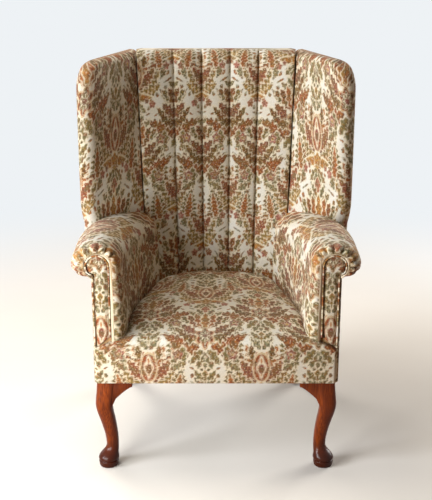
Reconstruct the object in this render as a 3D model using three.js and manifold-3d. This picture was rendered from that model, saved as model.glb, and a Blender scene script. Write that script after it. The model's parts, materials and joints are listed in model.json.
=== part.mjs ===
// Fluted wing armchair: beech frame, webbed and sprung seat, rolled arms, cabriole front legs.
// Millimetres, +Z up, the sitter faces -Y. Depths (y) are first measured back from the apron's
// front face, and the finished chair is then centred over its own footprint.
import * as THREE from 'three';
import { mergeVertices } from 'three/addons/utils/BufferGeometryUtils.js';
import Module from 'manifold-3d';

const wasm = await Module();
wasm.setup();

// Driving dimensions
const HEIGHT = 1078;
const LEG_HEIGHT = 270;
const FRONT_HALF = 323;
const MID_HALF = 330;
const BACK_HALF = 287;
const SEAT_DEPTH = 500;
const SEAT_RISE = 77;
const SEAT_CROWN = 28;
const SEAT_SIDE_DROP = 16;
const SEAT_NOSE = 22;
const CROWN_LEAD = 40;
const CROWN_RUN = 190;
const SEAT_TUCK = 40;
const SEAT_OVERLAP = 32;
const RAKE = Math.tan(THREE.MathUtils.degToRad(15));
const GAP = 0.4;

// Frame timber
const RAIL_LIFT = 5;
const RAIL_HEIGHT = 72;
const RAIL_THICK = 28;
const POST_INNER = 247;
const POST_DEPTH = 45;
const LEG_BLOCK = 48;
const KNEE_WIDTH = 50;
const LEG_SETBACK = 24;
const FOOT_HEIGHT = 38;
const CORNER_BLOCK = 55;
const CORNER_MARGIN = 12;
const TOP_RAIL_HEIGHT = 58;
const TOP_RAIL_DROP = 34;
const STUFFING_RAIL_HEIGHT = 46;
const STUFFING_RAIL_DROP = 16;
const BACK_RAIL_THICK = 25;
const ARM_POST_THICK = 24;
const WING_POST_SETBACK = 76;
const WING_POST_OUTSET = 7;
const WING_POST_WIDTH = 34;
const WING_POST_THICK = 22;
const WING_RAIL_HEIGHT = 28;
const REAR_FOOT_DEPTH = 32;
const REAR_FOOT_SPLAY = 92;

// Inside back
const BACK_THICK = 55;
const BACK_WEB_ROOM = 2.4;
const CREASE_TOP = 245;
const CREASE_SEAT = 213;
const BARREL_TOP = 50;
const BARREL_SEAT = 28;
const CHANNEL_CROWN = 14;
const SEAMS = [-1, -0.54, -0.18, 0.18, 0.54, 1];
const BACK_ROUND = 24;
const PAD_BOTTOM_LIFT = 4;

// Wings
const WING_FRONT_X = 345;
const WING_FLARE = 8;
const WING_REACH = 116;
const WING_THICK = 52;
const WING_CORNER = 78;
const WING_FOOT_SWEEP = 14;
const WING_FOOT_REACH = 45;
const WING_TOP_DROP = 3;
const WING_ROUND = 22;
const WING_TUCK = 50;
const WING_TAIL = 34;

// Arms
const ARM_RISE = 232;
const ARM_SLOPE = 0.09;
const ARM_INNER_FRONT = 243;
const ARM_INNER_BACK = 180;
const ARM_BACK_LEAD = 20;
const ROLL_START = 110;
const ARM_CURVE = 2.5;
const ROLL_OVERHANG = 53;
const ROLL_WING_OVERHANG = 70;
const ROLL_FADE_LEAD = 20;
const STEM_WIDTH = 47;
const HEAD_RADIUS = 33;
const HEAD_DROP = 26;
const FACE_DROP = 14;
const NECK_DROP = 90;
const NECK_ANGLE = { inner: -0.6, outer: -0.85 };
const PLEAT_DEPTH = 3;
const PLEAT_REACH = 44;
const PLEAT_POINTS = 25;
const FACING_Y = 8;
const FACING_THICK = 7.5;
const PIPING = 5;
const FACING_FOOT_RISE = 4;
const FACING_FOOT_DROP = 26;

// Covers and inner layers
const APRON_THICK = 12;
const APRON_CORNER = 8;
const APRON_SLOPE_DROP = 14;
const PANEL_THICK = 3;
const CLOTH = 1.4;
const CLOTH_MARGIN = 4;
const HESSIAN_LIFT = 27;
const HESSIAN_RUN = 54;
const HESSIAN_FALL = 34;
const HESSIAN_REAR = 64;
const HESSIAN_SHOULDER = 18;
const HESSIAN_ARM_ROOM = 10;
const STRAP_WIDTH = 50;
const SPRING_RADIUS = 40;
const SPRING_WAIST = 26;
const SPRING_WIRE = 4;
const SPRING_TURNS = 4;
const SPRING_PITCH = 110;
const EAR_WIDTH = 43;
const EAR_DROP = 40;
const EAR_THICK = 24;
const EAR_TIP = 5;
const EAR_SETBACK = 4;

// Derived places
const RAIL_BOTTOM = LEG_HEIGHT + RAIL_LIFT;
const RAIL_TOP = RAIL_BOTTOM + RAIL_HEIGHT;
const SEAT_TOP = RAIL_TOP + SEAT_RISE;
const SEAT_EDGE = SEAT_TOP - SEAT_CROWN;
const ARM_TOP = SEAT_TOP + ARM_RISE;
const ARM_BACK_Y = SEAT_DEPTH - ARM_BACK_LEAD;
const WING_FRONT_Y = SEAT_DEPTH - WING_REACH;
const FRAME_FRONT = APRON_THICK + GAP;
const PAD_BOTTOM = RAIL_TOP + PAD_BOTTOM_LIFT;

const lerp = THREE.MathUtils.lerp;
const smooth = (value) => THREE.MathUtils.smoothstep(value, 0, 1);
const share = (value, from, to) => (value - from) / (to - from);
const range = (count) => Array.from({ length: count }, (_, i) => i);
const fromTo = (a, b, count) => range(count).map((i) => lerp(a, b, i / (count - 1)));

// Places on the chair that several pieces share

// Depth of the inside back's middle at a height.
const backY = (z) => SEAT_DEPTH + (z - SEAT_TOP) * RAKE;
// Rear face of the back frame at a height.
const rearY = (z) => backY(z) + BACK_THICK;
const POST_FOOT_Y = rearY(RAIL_BOTTOM);
// Half width of the inside back at a height, up to the crease with the wing.
const creaseX = (z) => lerp(CREASE_SEAT, CREASE_TOP, share(z, SEAT_TOP, HEIGHT));
const barrel = (z) => lerp(BARREL_SEAT, BARREL_TOP, share(z, SEAT_TOP, HEIGHT));
const creaseY = (z) => backY(z) - barrel(z);
// Outer face of the bowed side frame at a depth: a parabola through three half widths.
const sideX = (y) => {
  const t = y / POST_FOOT_Y;
  return FRONT_HALF * (1 - t) * (1 - 2 * t) + 4 * MID_HALF * t * (1 - t) + BACK_HALF * t * (2 * t - 1);
};
const armTop = (y) => ARM_TOP - ARM_SLOPE * y;
// Inner face of the arm at a depth: nearly straight at the front, then round towards the back.
const armInnerX = (y) => lerp(ARM_INNER_FRONT, ARM_INNER_BACK, Math.max(0, y / ARM_BACK_Y) ** ARM_CURVE);
const POST_OUTER = BACK_HALF - GAP;
// Height of the roll's underside at the back post, and the depth of the post's front face there.
const NECK_END = armTop(SEAT_DEPTH + SEAT_TUCK) - NECK_DROP;
const ARM_END = rearY(NECK_END) - POST_DEPTH - GAP;

// Mesh helpers

// A solid from equal rings of points, closed by triangulated end caps; flat maps a point to 2D.
function loft(rings, flat) {
  const count = rings[0].length;
  const points = rings.flat();
  const index = [];
  for (let r = 0; r + 1 < rings.length; r += 1) {
    for (let i = 0; i < count; i += 1) {
      const a = r * count + i;
      const b = r * count + ((i + 1) % count);
      index.push(a, b, b + count, a, b + count, a + count);
    }
  }
  const last = (rings.length - 1) * count;
  for (const [a, b, c] of capTriangles(rings[0], flat)) index.push(c, b, a);
  for (const [a, b, c] of capTriangles(rings[rings.length - 1], flat)) {
    index.push(last + a, last + b, last + c);
  }
  return outward(new THREE.BufferGeometry().setFromPoints(points).setIndex(index));
}

// Triangles of a ring that keep the ring's own direction.
function capTriangles(ring, flat) {
  const contour = ring.map(flat);
  const turned = THREE.ShapeUtils.isClockWise(contour);
  const order = contour.map((_, i) => (turned ? contour.length - 1 - i : i));
  const faces = THREE.ShapeUtils.triangulateShape(order.map((i) => contour[i]), []);
  return faces.map((face) => {
    const [a, b, c] = face.map((i) => order[i]);
    return turned ? [c, b, a] : [a, b, c];
  });
}

// Six times the signed volume of an indexed mesh.
function signedVolume(geometry) {
  const p = geometry.attributes.position;
  const index = geometry.index.array;
  const [a, b, c] = [new THREE.Vector3(), new THREE.Vector3(), new THREE.Vector3()];
  let sum = 0;
  for (let i = 0; i < index.length; i += 3) {
    a.fromBufferAttribute(p, index[i]);
    b.fromBufferAttribute(p, index[i + 1]);
    c.fromBufferAttribute(p, index[i + 2]);
    sum += a.dot(b.cross(c));
  }
  return sum;
}

function flipped(geometry) {
  const index = geometry.index.array;
  for (let i = 0; i < index.length; i += 3) {
    [index[i + 1], index[i + 2]] = [index[i + 2], index[i + 1]];
  }
  return geometry;
}

function outward(geometry) {
  return signedVolume(geometry) < 0 ? flipped(geometry) : geometry;
}

function merged(geometry) {
  const bare = geometry.clone();
  bare.deleteAttribute('normal');
  bare.deleteAttribute('uv');
  return mergeVertices(bare, 1e-4);
}

function mirrored(geometry) {
  const copy = merged(geometry);
  copy.scale(-1, 1, 1);
  return flipped(copy);
}

// The mesh with every face moved out by a distance: the room that a neighbour leaves it.
function grown(geometry, distance) {
  const copy = merged(geometry);
  const p = copy.attributes.position;
  const index = copy.index.array;
  const normals = range(p.count).map(() => []);
  const corners = [new THREE.Vector3(), new THREE.Vector3(), new THREE.Vector3()];
  for (let i = 0; i < index.length; i += 3) {
    corners.forEach((corner, k) => corner.fromBufferAttribute(p, index[i + k]));
    const face = new THREE.Triangle(...corners).getNormal(new THREE.Vector3());
    for (let k = 0; k < 3; k += 1) {
      const known = normals[index[i + k]];
      if (!known.some((other) => other.dot(face) > 0.999)) known.push(face);
    }
  }
  normals.forEach((known, i) => {
    const mean = known.reduce((sum, face) => sum.add(face), new THREE.Vector3()).normalize();
    const least = Math.max(0.35, Math.min(...known.map((face) => face.dot(mean))));
    corners[0].fromBufferAttribute(p, i).addScaledVector(mean, distance / least);
    p.setXYZ(i, ...corners[0].toArray());
  });
  return copy;
}

function manifold(geometry) {
  const clean = merged(geometry);
  return new wasm.Manifold(new wasm.Mesh({
    numProp: 3,
    vertProperties: Float32Array.from(clean.attributes.position.array),
    triVerts: Uint32Array.from(clean.index.array),
  }));
}

function geometryOf(solid) {
  const mesh = solid.getMesh();
  const geometry = new THREE.BufferGeometry();
  geometry.setAttribute('position', new THREE.BufferAttribute(Float32Array.from(mesh.vertProperties), 3));
  return geometry.setIndex([...mesh.triVerts]);
}

function joined(...geometries) {
  return geometryOf(geometries.map(manifold).reduce((sum, next) => sum.add(next)));
}

// A pad fitted round its neighbours: they are cut out of it with a clearance, offcuts are dropped.
function fitted(geometry, neighbours) {
  let solid = manifold(geometry);
  for (const neighbour of neighbours) solid = solid.subtract(manifold(grown(neighbour, GAP)));
  const pieces = solid.decompose().sort((a, b) => b.volume() - a.volume());
  return geometryOf(pieces[0]);
}

// A box between two corners.
function block(x0, y0, z0, x1, y1, z1) {
  const box = new THREE.BoxGeometry(x1 - x0, y1 - y0, z1 - z0);
  return merged(box.translate((x0 + x1) / 2, (y0 + y1) / 2, (z0 + z1) / 2));
}

// An outline in the XZ plane given depth from y0 to y1.
function plate(outline, y0, y1) {
  const ringAt = (y) => outline.map(([x, z]) => new THREE.Vector3(x, y, z));
  return loft([ringAt(y0), ringAt(y1)], (p) => new THREE.Vector2(p.x, p.z));
}

const flatXY = (p) => new THREE.Vector2(p.x, p.y);
const flatXZ = (p) => new THREE.Vector2(p.x, p.z);
const flatYZ = (p) => new THREE.Vector2(p.y, p.z);

// Finishes
const finish = (color, roughness) => new THREE.MeshStandardMaterial({ color, roughness, metalness: 0 });
const DAMASK = () => finish(0xb59a78, 0.9);
const PIPED = () => finish(0xc9b48f, 0.9);
const BEECH = () => finish(0xcaa678, 0.65);
const MAHOGANY = () => finish(0x6e2d14, 0.35);
const JUTE = () => finish(0x9c7f53, 0.95);
const BLACK_CLOTH = () => finish(0x2b2926, 0.95);
const STEEL = () => new THREE.MeshStandardMaterial({ color: 0x8a8a86, roughness: 0.4, metalness: 0.9 });

const chair = new THREE.Group();

function piece(name, geometry, material) {
  const mesh = new THREE.Mesh(geometry, material);
  mesh.name = name;
  chair.add(mesh);
}

function pair(name, geometry, material) {
  piece(`right_${name}`, geometry, material());
  piece(`left_${name}`, mirrored(geometry), material());
}

// Seat frame

function seatRails() {
  const legBack = FRAME_FRONT + LEG_BLOCK;
  const postFront = rearY(RAIL_BOTTOM) - POST_DEPTH;
  const inner = FRONT_HALF - LEG_BLOCK - GAP;
  const front = block(-inner, FRAME_FRONT, RAIL_BOTTOM, inner, FRAME_FRONT + RAIL_THICK, RAIL_TOP);
  const backFront = rearY(RAIL_BOTTOM) - RAIL_THICK;
  const across = POST_INNER - GAP;
  const back = block(-across, backFront, RAIL_BOTTOM, across, backFront + RAIL_THICK - GAP, RAIL_TOP);
  const rings = fromTo(legBack + GAP, postFront - GAP, 9).map((y) => {
    const outer = sideX(y) - GAP;
    return [[outer - RAIL_THICK, RAIL_BOTTOM], [outer, RAIL_BOTTOM], [outer, RAIL_TOP],
      [outer - RAIL_THICK, RAIL_TOP]].map(([x, z]) => new THREE.Vector3(x, y, z));
  });
  return { front, back, side: loft(rings, flatXZ) };
}

// A triangular glue block in the corner between two rails; signs point from the corner inwards.
function cornerBlock(x, y, inX, inY) {
  const low = RAIL_BOTTOM + CORNER_MARGIN;
  const high = RAIL_TOP - CORNER_MARGIN;
  const corners = [[x, y], [x + inX * CORNER_BLOCK, y], [x, y + inY * CORNER_BLOCK]];
  const ringAt = (z) => corners.map(([cx, cy]) => new THREE.Vector3(cx, cy, z));
  return loft([ringAt(low), ringAt(high)], flatXY);
}

// Cabriole leg: rings of a superellipse whose centre and half size follow the S curve.
// Foot rows give a height, shaft rows a share of the way from the foot to the knee; then come the
// inset of the centre from the knee's outer corner, the half size and the squareness.
const LEG_FOOT = [
  [0, 23.5, 23.5, 2], [5, 23.5, 25.5, 2], [8, 23.5, 25, 2], [10.5, 23.5, 27.6, 2], [20, 23.5, 28.8, 2],
  [30, 24.5, 27.4, 2],
];
const LEG_SHAFT = [
  [0, 27, 23.5, 2], [0.035, 31.5, 18.8, 2], [0.075, 34.4, 15.9, 2], [0.14, 34.6, 15.4, 2.1],
  [0.21, 33.5, 15.9, 2.2], [0.34, 29.3, 17.8, 2.4], [0.47, 23.5, 20.3, 2.5], [0.54, 20.2, 21.4, 2.6],
  [0.61, 17.6, 22.5, 2.7], [0.67, 16.8, 23, 2.8], [0.74, 18.4, 23.6, 3], [0.83, 21.2, 24.2, 3.4],
  [0.915, 23.4, 24.6, 4.5], [1, 25, 25, 7],
];

function frontLeg() {
  const knee = LEG_HEIGHT - GAP;
  const sides = 16;
  const ring = (z, cx, cy, half, power) => range(sides).map((i) => {
    const angle = ((i + 0.5) / sides) * Math.PI * 2;
    const c = Math.cos(angle);
    const s = Math.sin(angle);
    const radius = half / (Math.abs(c) ** power + Math.abs(s) ** power) ** (1 / power);
    return new THREE.Vector3(cx + radius * c, cy + radius * s, z);
  });
  const rows = [...LEG_FOOT, ...LEG_SHAFT.map(([t, ...rest]) => [lerp(FOOT_HEIGHT, knee, t), ...rest])];
  const rings = rows.map(([z, inset, half, power]) => ring(
    z, FRONT_HALF - inset, LEG_SETBACK + inset, half, power));
  const blockX = FRONT_HALF - LEG_BLOCK / 2 - GAP;
  const blockY = FRAME_FRONT + LEG_BLOCK / 2;
  const blockHalf = LEG_BLOCK / 2 - GAP;
  const squareness = 12;
  for (const z of [LEG_HEIGHT - GAP / 2, RAIL_TOP]) {
    rings.push(ring(z, blockX, blockY, blockHalf, squareness));
  }
  return loft(rings, flatXY);
}

// Bracket ear beside the knee, cut to an ogee: drawn in the front plane, tip towards the middle.
function earOutline() {
  const top = LEG_HEIGHT - GAP;
  const points = [[0, top], [0, top - EAR_DROP]];
  for (const t of fromTo(0.15, 1, 7)) {
    const dip = 0.5 + 0.5 * Math.cos(Math.PI * t);
    points.push([EAR_WIDTH * t, top - EAR_TIP - (EAR_DROP - EAR_TIP) * dip]);
  }
  points.push([EAR_WIDTH, top]);
  return points;
}

function kneeEars() {
  const joint = KNEE_WIDTH + GAP;
  const front = LEG_SETBACK + EAR_SETBACK;
  const inner = plate(earOutline().map(([x, z]) => [FRONT_HALF - joint - x, z]), front, front + EAR_THICK);
  const ringAt = (x) => earOutline().map(([y, z]) => new THREE.Vector3(x, LEG_SETBACK + joint + y, z));
  const outer = FRONT_HALF - EAR_SETBACK;
  const side = loft([ringAt(outer - EAR_THICK), ringAt(outer)], flatYZ);
  return { front: inner, side };
}

// Rear leg and back post sawn from one plank: splayed below the seat, raked above it.
function rearLeg() {
  const top = HEIGHT - TOP_RAIL_DROP;
  const bend = RAIL_BOTTOM;
  const footY = rearY(bend) - GAP + REAR_FOOT_SPLAY;
  const halfway = { height: 0.5, share: 0.55 };
  const behind = lerp(footY, rearY(bend), halfway.share);
  const ahead = lerp(footY - REAR_FOOT_DEPTH, rearY(bend) - POST_DEPTH, halfway.share);
  const outline = [
    [footY - REAR_FOOT_DEPTH, 0], [footY, 0], [behind, bend * halfway.height],
    [rearY(bend) - GAP, bend], [rearY(top) - GAP, top], [rearY(top) - POST_DEPTH, top],
    [rearY(bend) - POST_DEPTH, bend], [ahead, bend * halfway.height],
  ];
  const ringAt = (x) => outline.map(([y, z]) => new THREE.Vector3(x, y, z));
  return loft([ringAt(POST_INNER), ringAt(POST_OUTER)], flatYZ);
}

// A rail between the back posts that leans with the back.
function backRail(low, high) {
  const rear = (z) => rearY(z) - BACK_WEB_ROOM;
  const outline = [[rear(low) - BACK_RAIL_THICK, low], [rear(low), low], [rear(high), high],
    [rear(high) - BACK_RAIL_THICK, high]];
  const across = POST_INNER - GAP;
  const ringAt = (x) => outline.map(([y, z]) => new THREE.Vector3(x, y, z));
  return loft([ringAt(-across), ringAt(across)], flatYZ);
}

// Arms

// Keyhole of the arm front at a depth, from the stem's inner foot over the head to its outer foot;
// shrink draws it in all round.
function keyhole(y, shrink, footInner, footOuter) {
  const outer = sideX(y);
  const inner = outer - STEM_WIDTH;
  const headZ = armTop(y) - HEAD_DROP - HEAD_RADIUS;
  const headX = inner + HEAD_RADIUS - 1;
  const radius = HEAD_RADIUS - shrink;
  const arc = fromTo(Math.PI, NECK_ANGLE.inner, 14)
    .map((a) => [headX + radius * Math.cos(a), headZ + radius * Math.sin(a)]);
  const neck = [outer - shrink, armTop(y) - NECK_DROP + 6 + 0.6 * shrink];
  return [[inner + shrink, footInner], ...arc, neck, [outer - shrink, footOuter]];
}

// A board or facing cut to the keyhole between two depths, following the arm's sides.
function keyholePlate(y0, y1, shrink, footInner, footOuter) {
  const ringAt = (y) => keyhole(y, shrink, footInner, footOuter).map(([x, z]) => new THREE.Vector3(x, y, z));
  return loft([ringAt(y0), ringAt(y1)], flatXZ);
}

// Ring of the rolled arm pad at a depth: the inner face, the roll, then back round the keyhole.
// lean tilts the ring back, swell runs from 0, drawn in to the keyhole, to 1, full, and pleat
// deepens the gathers on the roll.
function armRing(y, lean, swell, pleat) {
  const outer = sideX(y);
  const behind = smooth(share(y, WING_FRONT_Y + ROLL_FADE_LEAD, rearY(ARM_TOP) - POST_DEPTH));
  const full = lerp(ROLL_OVERHANG, ROLL_WING_OVERHANG, smooth(share(y, ROLL_START, WING_FRONT_Y)));
  const overhang = lerp(full, 2 * HEAD_RADIUS - STEM_WIDTH + 6, behind);
  const innerX = armInnerX(y);
  const top = armTop(y);
  const stem = outer - STEM_WIDTH;
  const headZ = top - HEAD_DROP - HEAD_RADIUS;
  const hug = (full, tight) => lerp(tight, full, swell);
  const rollX = stem + HEAD_RADIUS - hug(4, 1);
  const face = fromTo(PAD_BOTTOM, headZ - FACE_DROP, 5).map((z, i) => {
    const belly = 5 * Math.sin((i / 4) * Math.PI);
    return [hug(innerX - belly + i * 1.2, stem - 4), z];
  });
  const tight = HEAD_RADIUS + 4;
  const left = hug(rollX - innerX - 5, tight);
  const right = hug(outer + overhang - rollX, tight);
  const up = hug(top - headZ, tight);
  const down = hug(NECK_DROP - HEAD_DROP - HEAD_RADIUS + 2, tight);
  const roll = range(PLEAT_POINTS).map((i) => {
    const angle = lerp(Math.PI, NECK_ANGLE.outer, i / (PLEAT_POINTS - 1));
    const c = Math.cos(angle);
    const s = Math.sin(angle);
    const gather = pleat * (i % 2 ? -1 : 0.4);
    const wide = (c < 0 ? left : right) + gather;
    const tall = (s > 0 ? up : down) + gather;
    return [rollX + wide * c, headZ + tall * s];
  });
  const neck = [outer + 4, top - NECK_DROP];
  const hollow = keyhole(y, -GAP, PAD_BOTTOM, top - NECK_DROP).reverse();
  return [...face, ...roll, neck, ...hollow]
    .map(([x, z]) => new THREE.Vector3(x, y + lean * (z - NECK_END), z));
}

// Front rings: share of the pleats' reach, swell, pleat depth.
const ARM_FRONT = [[0, 0.12, 0.3], [0.068, 0.5, 1], [0.227, 0.8, 0.9], [0.5, 0.96, 0.45], [1, 1, 0]];

function armPad() {
  const rings = ARM_FRONT.map(([t, swell, pleat]) => armRing(
    FACING_Y + PLEAT_REACH * t, 0, swell, pleat * PLEAT_DEPTH));
  for (const t of fromTo(0, 1, 8)) rings.push(armRing(lerp(ROLL_START, ARM_END, t), RAKE * t, 1, 0));
  return loft(rings, flatXZ);
}

// Bar inside the roll, from the arm post to the back post.
function armRail() {
  const start = FACING_Y + FACING_THICK + ARM_POST_THICK + 2 * GAP;
  const rings = fromTo(start, ARM_END, 8).map((y, i) => {
    const headX = sideX(y) - STEM_WIDTH + HEAD_RADIUS - 1;
    const headZ = armTop(y) - HEAD_DROP - HEAD_RADIUS;
    const radius = HEAD_RADIUS - GAP;
    return fromTo(Math.PI + 0.35, -0.35, 11).map((a) => {
      const z = headZ + radius * Math.sin(a);
      return new THREE.Vector3(headX + radius * Math.cos(a), y + (i / 7) * RAKE * (z - NECK_END), z);
    });
  });
  return loft(rings, flatXZ);
}

// Wings

// Inner and outer ends of the wing's section at a height.
function wingSection(z) {
  const foot = armTop(WING_FRONT_Y);
  const top = HEIGHT - WING_TOP_DROP;
  const low = THREE.MathUtils.clamp(1 - (z - foot) / WING_FOOT_REACH, 0, 1.4);
  const high = THREE.MathUtils.clamp((z - top + WING_CORNER) / WING_CORNER, 0, 1);
  const corner = WING_CORNER * (1 - Math.sqrt(Math.max(0, 1 - high * high)));
  const frontY = WING_FRONT_Y + WING_FOOT_SWEEP * low ** 1.6 + corner;
  const crease = new THREE.Vector2(creaseX(z) + GAP, creaseY(z));
  const flare = WING_FLARE * THREE.MathUtils.clamp(share(z, top, foot), 0, 1);
  const full = new THREE.Vector2(WING_FRONT_X + flare, WING_FRONT_Y);
  const along = full.clone().sub(crease);
  const reach = share(frontY, crease.y, full.y);
  const front = crease.clone().addScaledVector(along, reach);
  const normal = new THREE.Vector2(-along.y, along.x).normalize();
  const postFront = rearY(z) - POST_DEPTH - GAP;
  return { crease, front, normal, postFront };
}

// Ring of the wing pad at a height, drawn in by inset; above the back post it reaches over it.
function wingRing(z, inset) {
  const { crease, front, normal, postFront } = wingSection(z);
  const rear = z > HEIGHT - TOP_RAIL_DROP ? rearY(z) - GAP - inset : postFront;
  const half = WING_THICK / 2;
  const ahead = new THREE.Vector2(normal.y, -normal.x).multiplyScalar(-1);
  const tip = front.clone().addScaledVector(normal, half);
  const nose = fromTo(-Math.PI / 2, Math.PI / 2, 9).map((a) => tip.clone()
    .addScaledVector(normal, (half - inset) * Math.sin(a))
    .addScaledVector(ahead, -(half - inset) * Math.cos(a)));
  const hollow = crease.clone().lerp(front, 0.5).addScaledVector(normal, 4 + inset);
  const rearOuter = new THREE.Vector2(POST_OUTER - inset, rear);
  const outerFront = front.clone().addScaledVector(normal, WING_THICK - inset);
  const outerMid = outerFront.clone().lerp(rearOuter, 0.5);
  const start = crease.clone().addScaledVector(normal, inset);
  const rearInner = new THREE.Vector2(creaseX(z) + GAP + inset, rear);
  return [start, hollow, ...nose, outerMid, rearOuter, rearInner]
    .map((p) => new THREE.Vector3(p.x, p.y, z));
}

function wingPad() {
  const top = HEIGHT - WING_TOP_DROP;
  const rings = fromTo(armTop(WING_FRONT_Y) - WING_TUCK, top - WING_CORNER, 8).map((z) => wingRing(z, 0));
  for (const a of fromTo(0.25, Math.PI / 2 - 0.12, 6)) {
    const z = top - WING_CORNER + WING_CORNER * Math.sin(a);
    const edge = Math.max(0, z - (top - WING_ROUND)) / WING_ROUND;
    rings.push(wingRing(z, WING_ROUND * (1 - Math.sqrt(Math.max(0, 1 - edge * edge)))));
  }
  return loft(rings, flatXY);
}

// Upright in the wing's front edge, standing on the arm rail.
function wingPost() {
  const y = WING_FRONT_Y + WING_POST_SETBACK;
  const foot = armTop(y - WING_POST_WIDTH) - HEAD_DROP;
  const top = HEIGHT - WING_TOP_DROP - WING_CORNER;
  const railX = sideX(y) - STEM_WIDTH + HEAD_RADIUS + WING_POST_OUTSET;
  const ringAt = (x, depth, z) => [[-1, -1], [1, -1], [1, 1], [-1, 1]].map(([i, j]) => new THREE.Vector3(
    x + i * WING_POST_THICK / 2, depth + j * WING_POST_WIDTH / 2, z));
  const { front, normal } = wingSection(top);
  const head = front.clone().addScaledVector(normal, WING_THICK / 2);
  const half = WING_POST_WIDTH / 2;
  return loft([ringAt(railX, y + half, foot), ringAt(head.x, head.y + half, top)], flatXY);
}

// Rail from the wing post back to the back post.
function wingRail() {
  const z = HEIGHT - WING_TOP_DROP - WING_CORNER + GAP;
  const { front, normal, postFront } = wingSection(z);
  const head = front.clone().addScaledVector(normal, WING_THICK / 2);
  const tail = new THREE.Vector2((creaseX(z) + POST_OUTER) / 2 + 6, postFront);
  const ringAt = (p) => [[-1, 0], [1, 0], [1, 1], [-1, 1]].map(([i, k]) => new THREE.Vector3(
    p.x + i * WING_POST_THICK / 2, p.y, z + k * WING_RAIL_HEIGHT));
  return loft([ringAt(head), ringAt(tail)], flatXZ);
}

// Inside back: five crowned channels on a barrel curve, rolled over the top rail.
function insideBack() {
  const ringAt = (z, inset) => {
    const half = creaseX(z) - inset * 0.4;
    const front = [];
    for (let k = 0; k + 1 < SEAMS.length; k += 1) {
      for (const t of fromTo(0, 1, 8).slice(0, k + 2 < SEAMS.length ? 7 : 8)) {
        const u = lerp(SEAMS[k], SEAMS[k + 1], t);
        const crown = CHANNEL_CROWN * Math.sin(Math.PI * t) ** 0.6;
        front.push([u * half, backY(z) - barrel(z) * u * u - crown + inset]);
      }
    }
    const rear = rearY(z) - BACK_WEB_ROOM - inset * 0.5;
    const behind = fromTo(half, -half, 5).map((x) => [x, rear]);
    return [...front, ...behind].map(([x, y]) => new THREE.Vector3(x, y, z));
  };
  const rings = fromTo(PAD_BOTTOM, HEIGHT - BACK_ROUND, 10).map((z) => ringAt(z, 0));
  for (const a of fromTo(0.35, Math.PI / 2 - 0.1, 4)) {
    rings.push(ringAt(HEIGHT - BACK_ROUND + BACK_ROUND * Math.sin(a), BACK_ROUND * (1 - Math.cos(a))));
  }
  return loft(rings, flatXY);
}

// Seat

// Top of the hessian along the chair's depth: down on the front rail, up over the springs.
const HESSIAN_LOW = RAIL_TOP + GAP;
const HESSIAN_HIGH = RAIL_TOP + HESSIAN_LIFT;
const HESSIAN_START = FRAME_FRONT + RAIL_THICK + 2;
const HESSIAN_RISE = fromTo(HESSIAN_START, HESSIAN_START + HESSIAN_RUN, 5);
const hessianTop = (y) => {
  const t = share(y, HESSIAN_START, HESSIAN_START + HESSIAN_RUN);
  return lerp(HESSIAN_LOW, HESSIAN_HIGH, smooth(t)) + CLOTH;
};

// Crowned top with a rounded front edge; each ring is a section along the depth.
function seatSlab() {
  const rear = SEAT_DEPTH + SEAT_TUCK;
  const half = ARM_INNER_FRONT + SEAT_OVERLAP;
  const topShares = [0.096, 0.16, 0.24, 0.36, 0.52, 0.68, 0.86];
  const underneath = [rear, SEAT_DEPTH * 0.6, ...[...HESSIAN_RISE].reverse(), FRAME_FRONT];
  const rings = fromTo(-1, 1, 15).map((u) => {
    const drop = SEAT_SIDE_DROP * Math.abs(u) ** 3;
    const edge = SEAT_EDGE - drop * 0.4;
    const crown = (y) => lerp(edge, SEAT_TOP - drop, smooth(share(y, -CROWN_LEAD, CROWN_RUN)));
    const noseZ = crown(SEAT_NOSE) - SEAT_NOSE;
    const nose = fromTo(Math.PI, Math.PI / 2, 6)
      .map((a) => [SEAT_NOSE + SEAT_NOSE * Math.cos(a), noseZ + SEAT_NOSE * Math.sin(a)]);
    const top = topShares.map((t) => [SEAT_DEPTH * t, crown(SEAT_DEPTH * t)]);
    const under = underneath.map((y) => [y, hessianTop(y) + GAP]);
    const section = [[0, hessianTop(0) + GAP], ...nose, ...top, [rear, crown(rear)], ...under];
    return section.map(([y, z]) => new THREE.Vector3(u * half, y, z));
  });
  return loft(rings, flatYZ);
}

// Front cover below the seat edge, with rounded ends; its top slopes under the arm facings.
function apron() {
  const outer = FRONT_HALF + PANEL_THICK;
  const ringAt = (z, half) => {
    const right = fromTo(-Math.PI / 2, 0, 5).map((a) => [
      half - APRON_CORNER + APRON_CORNER * Math.cos(a), APRON_CORNER + APRON_CORNER * Math.sin(a)]);
    const left = right.map(([x, y]) => [-x, y]).reverse();
    return [...right, [half, APRON_THICK], [-half, APRON_THICK], ...left]
      .map(([x, y]) => new THREE.Vector3(x, y, z));
  };
  const slopeLow = SEAT_EDGE - FACING_FOOT_DROP - FACING_FOOT_RISE;
  const slopeHigh = SEAT_EDGE - APRON_SLOPE_DROP;
  const bottom = ringAt(LEG_HEIGHT, outer);
  const top = ringAt(slopeHigh, ARM_INNER_FRONT + SEAT_OVERLAP - 2);
  return loft([bottom, ringAt(slopeLow, outer), top], flatXY);
}

// Arm front board, its covered facing and the piping round it.
const FOOT_SLOPE = { inner: SEAT_EDGE + FACING_FOOT_RISE, outer: SEAT_EDGE - FACING_FOOT_DROP };

function facing() {
  const rear = FACING_Y + FACING_THICK;
  return keyholePlate(FACING_Y, rear, PIPING + 3 * GAP, FOOT_SLOPE.inner, FOOT_SLOPE.outer);
}

function armPost() {
  const y0 = FACING_Y + FACING_THICK + GAP;
  return keyholePlate(y0, y0 + ARM_POST_THICK, GAP, RAIL_TOP + GAP, RAIL_TOP + GAP);
}

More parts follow.
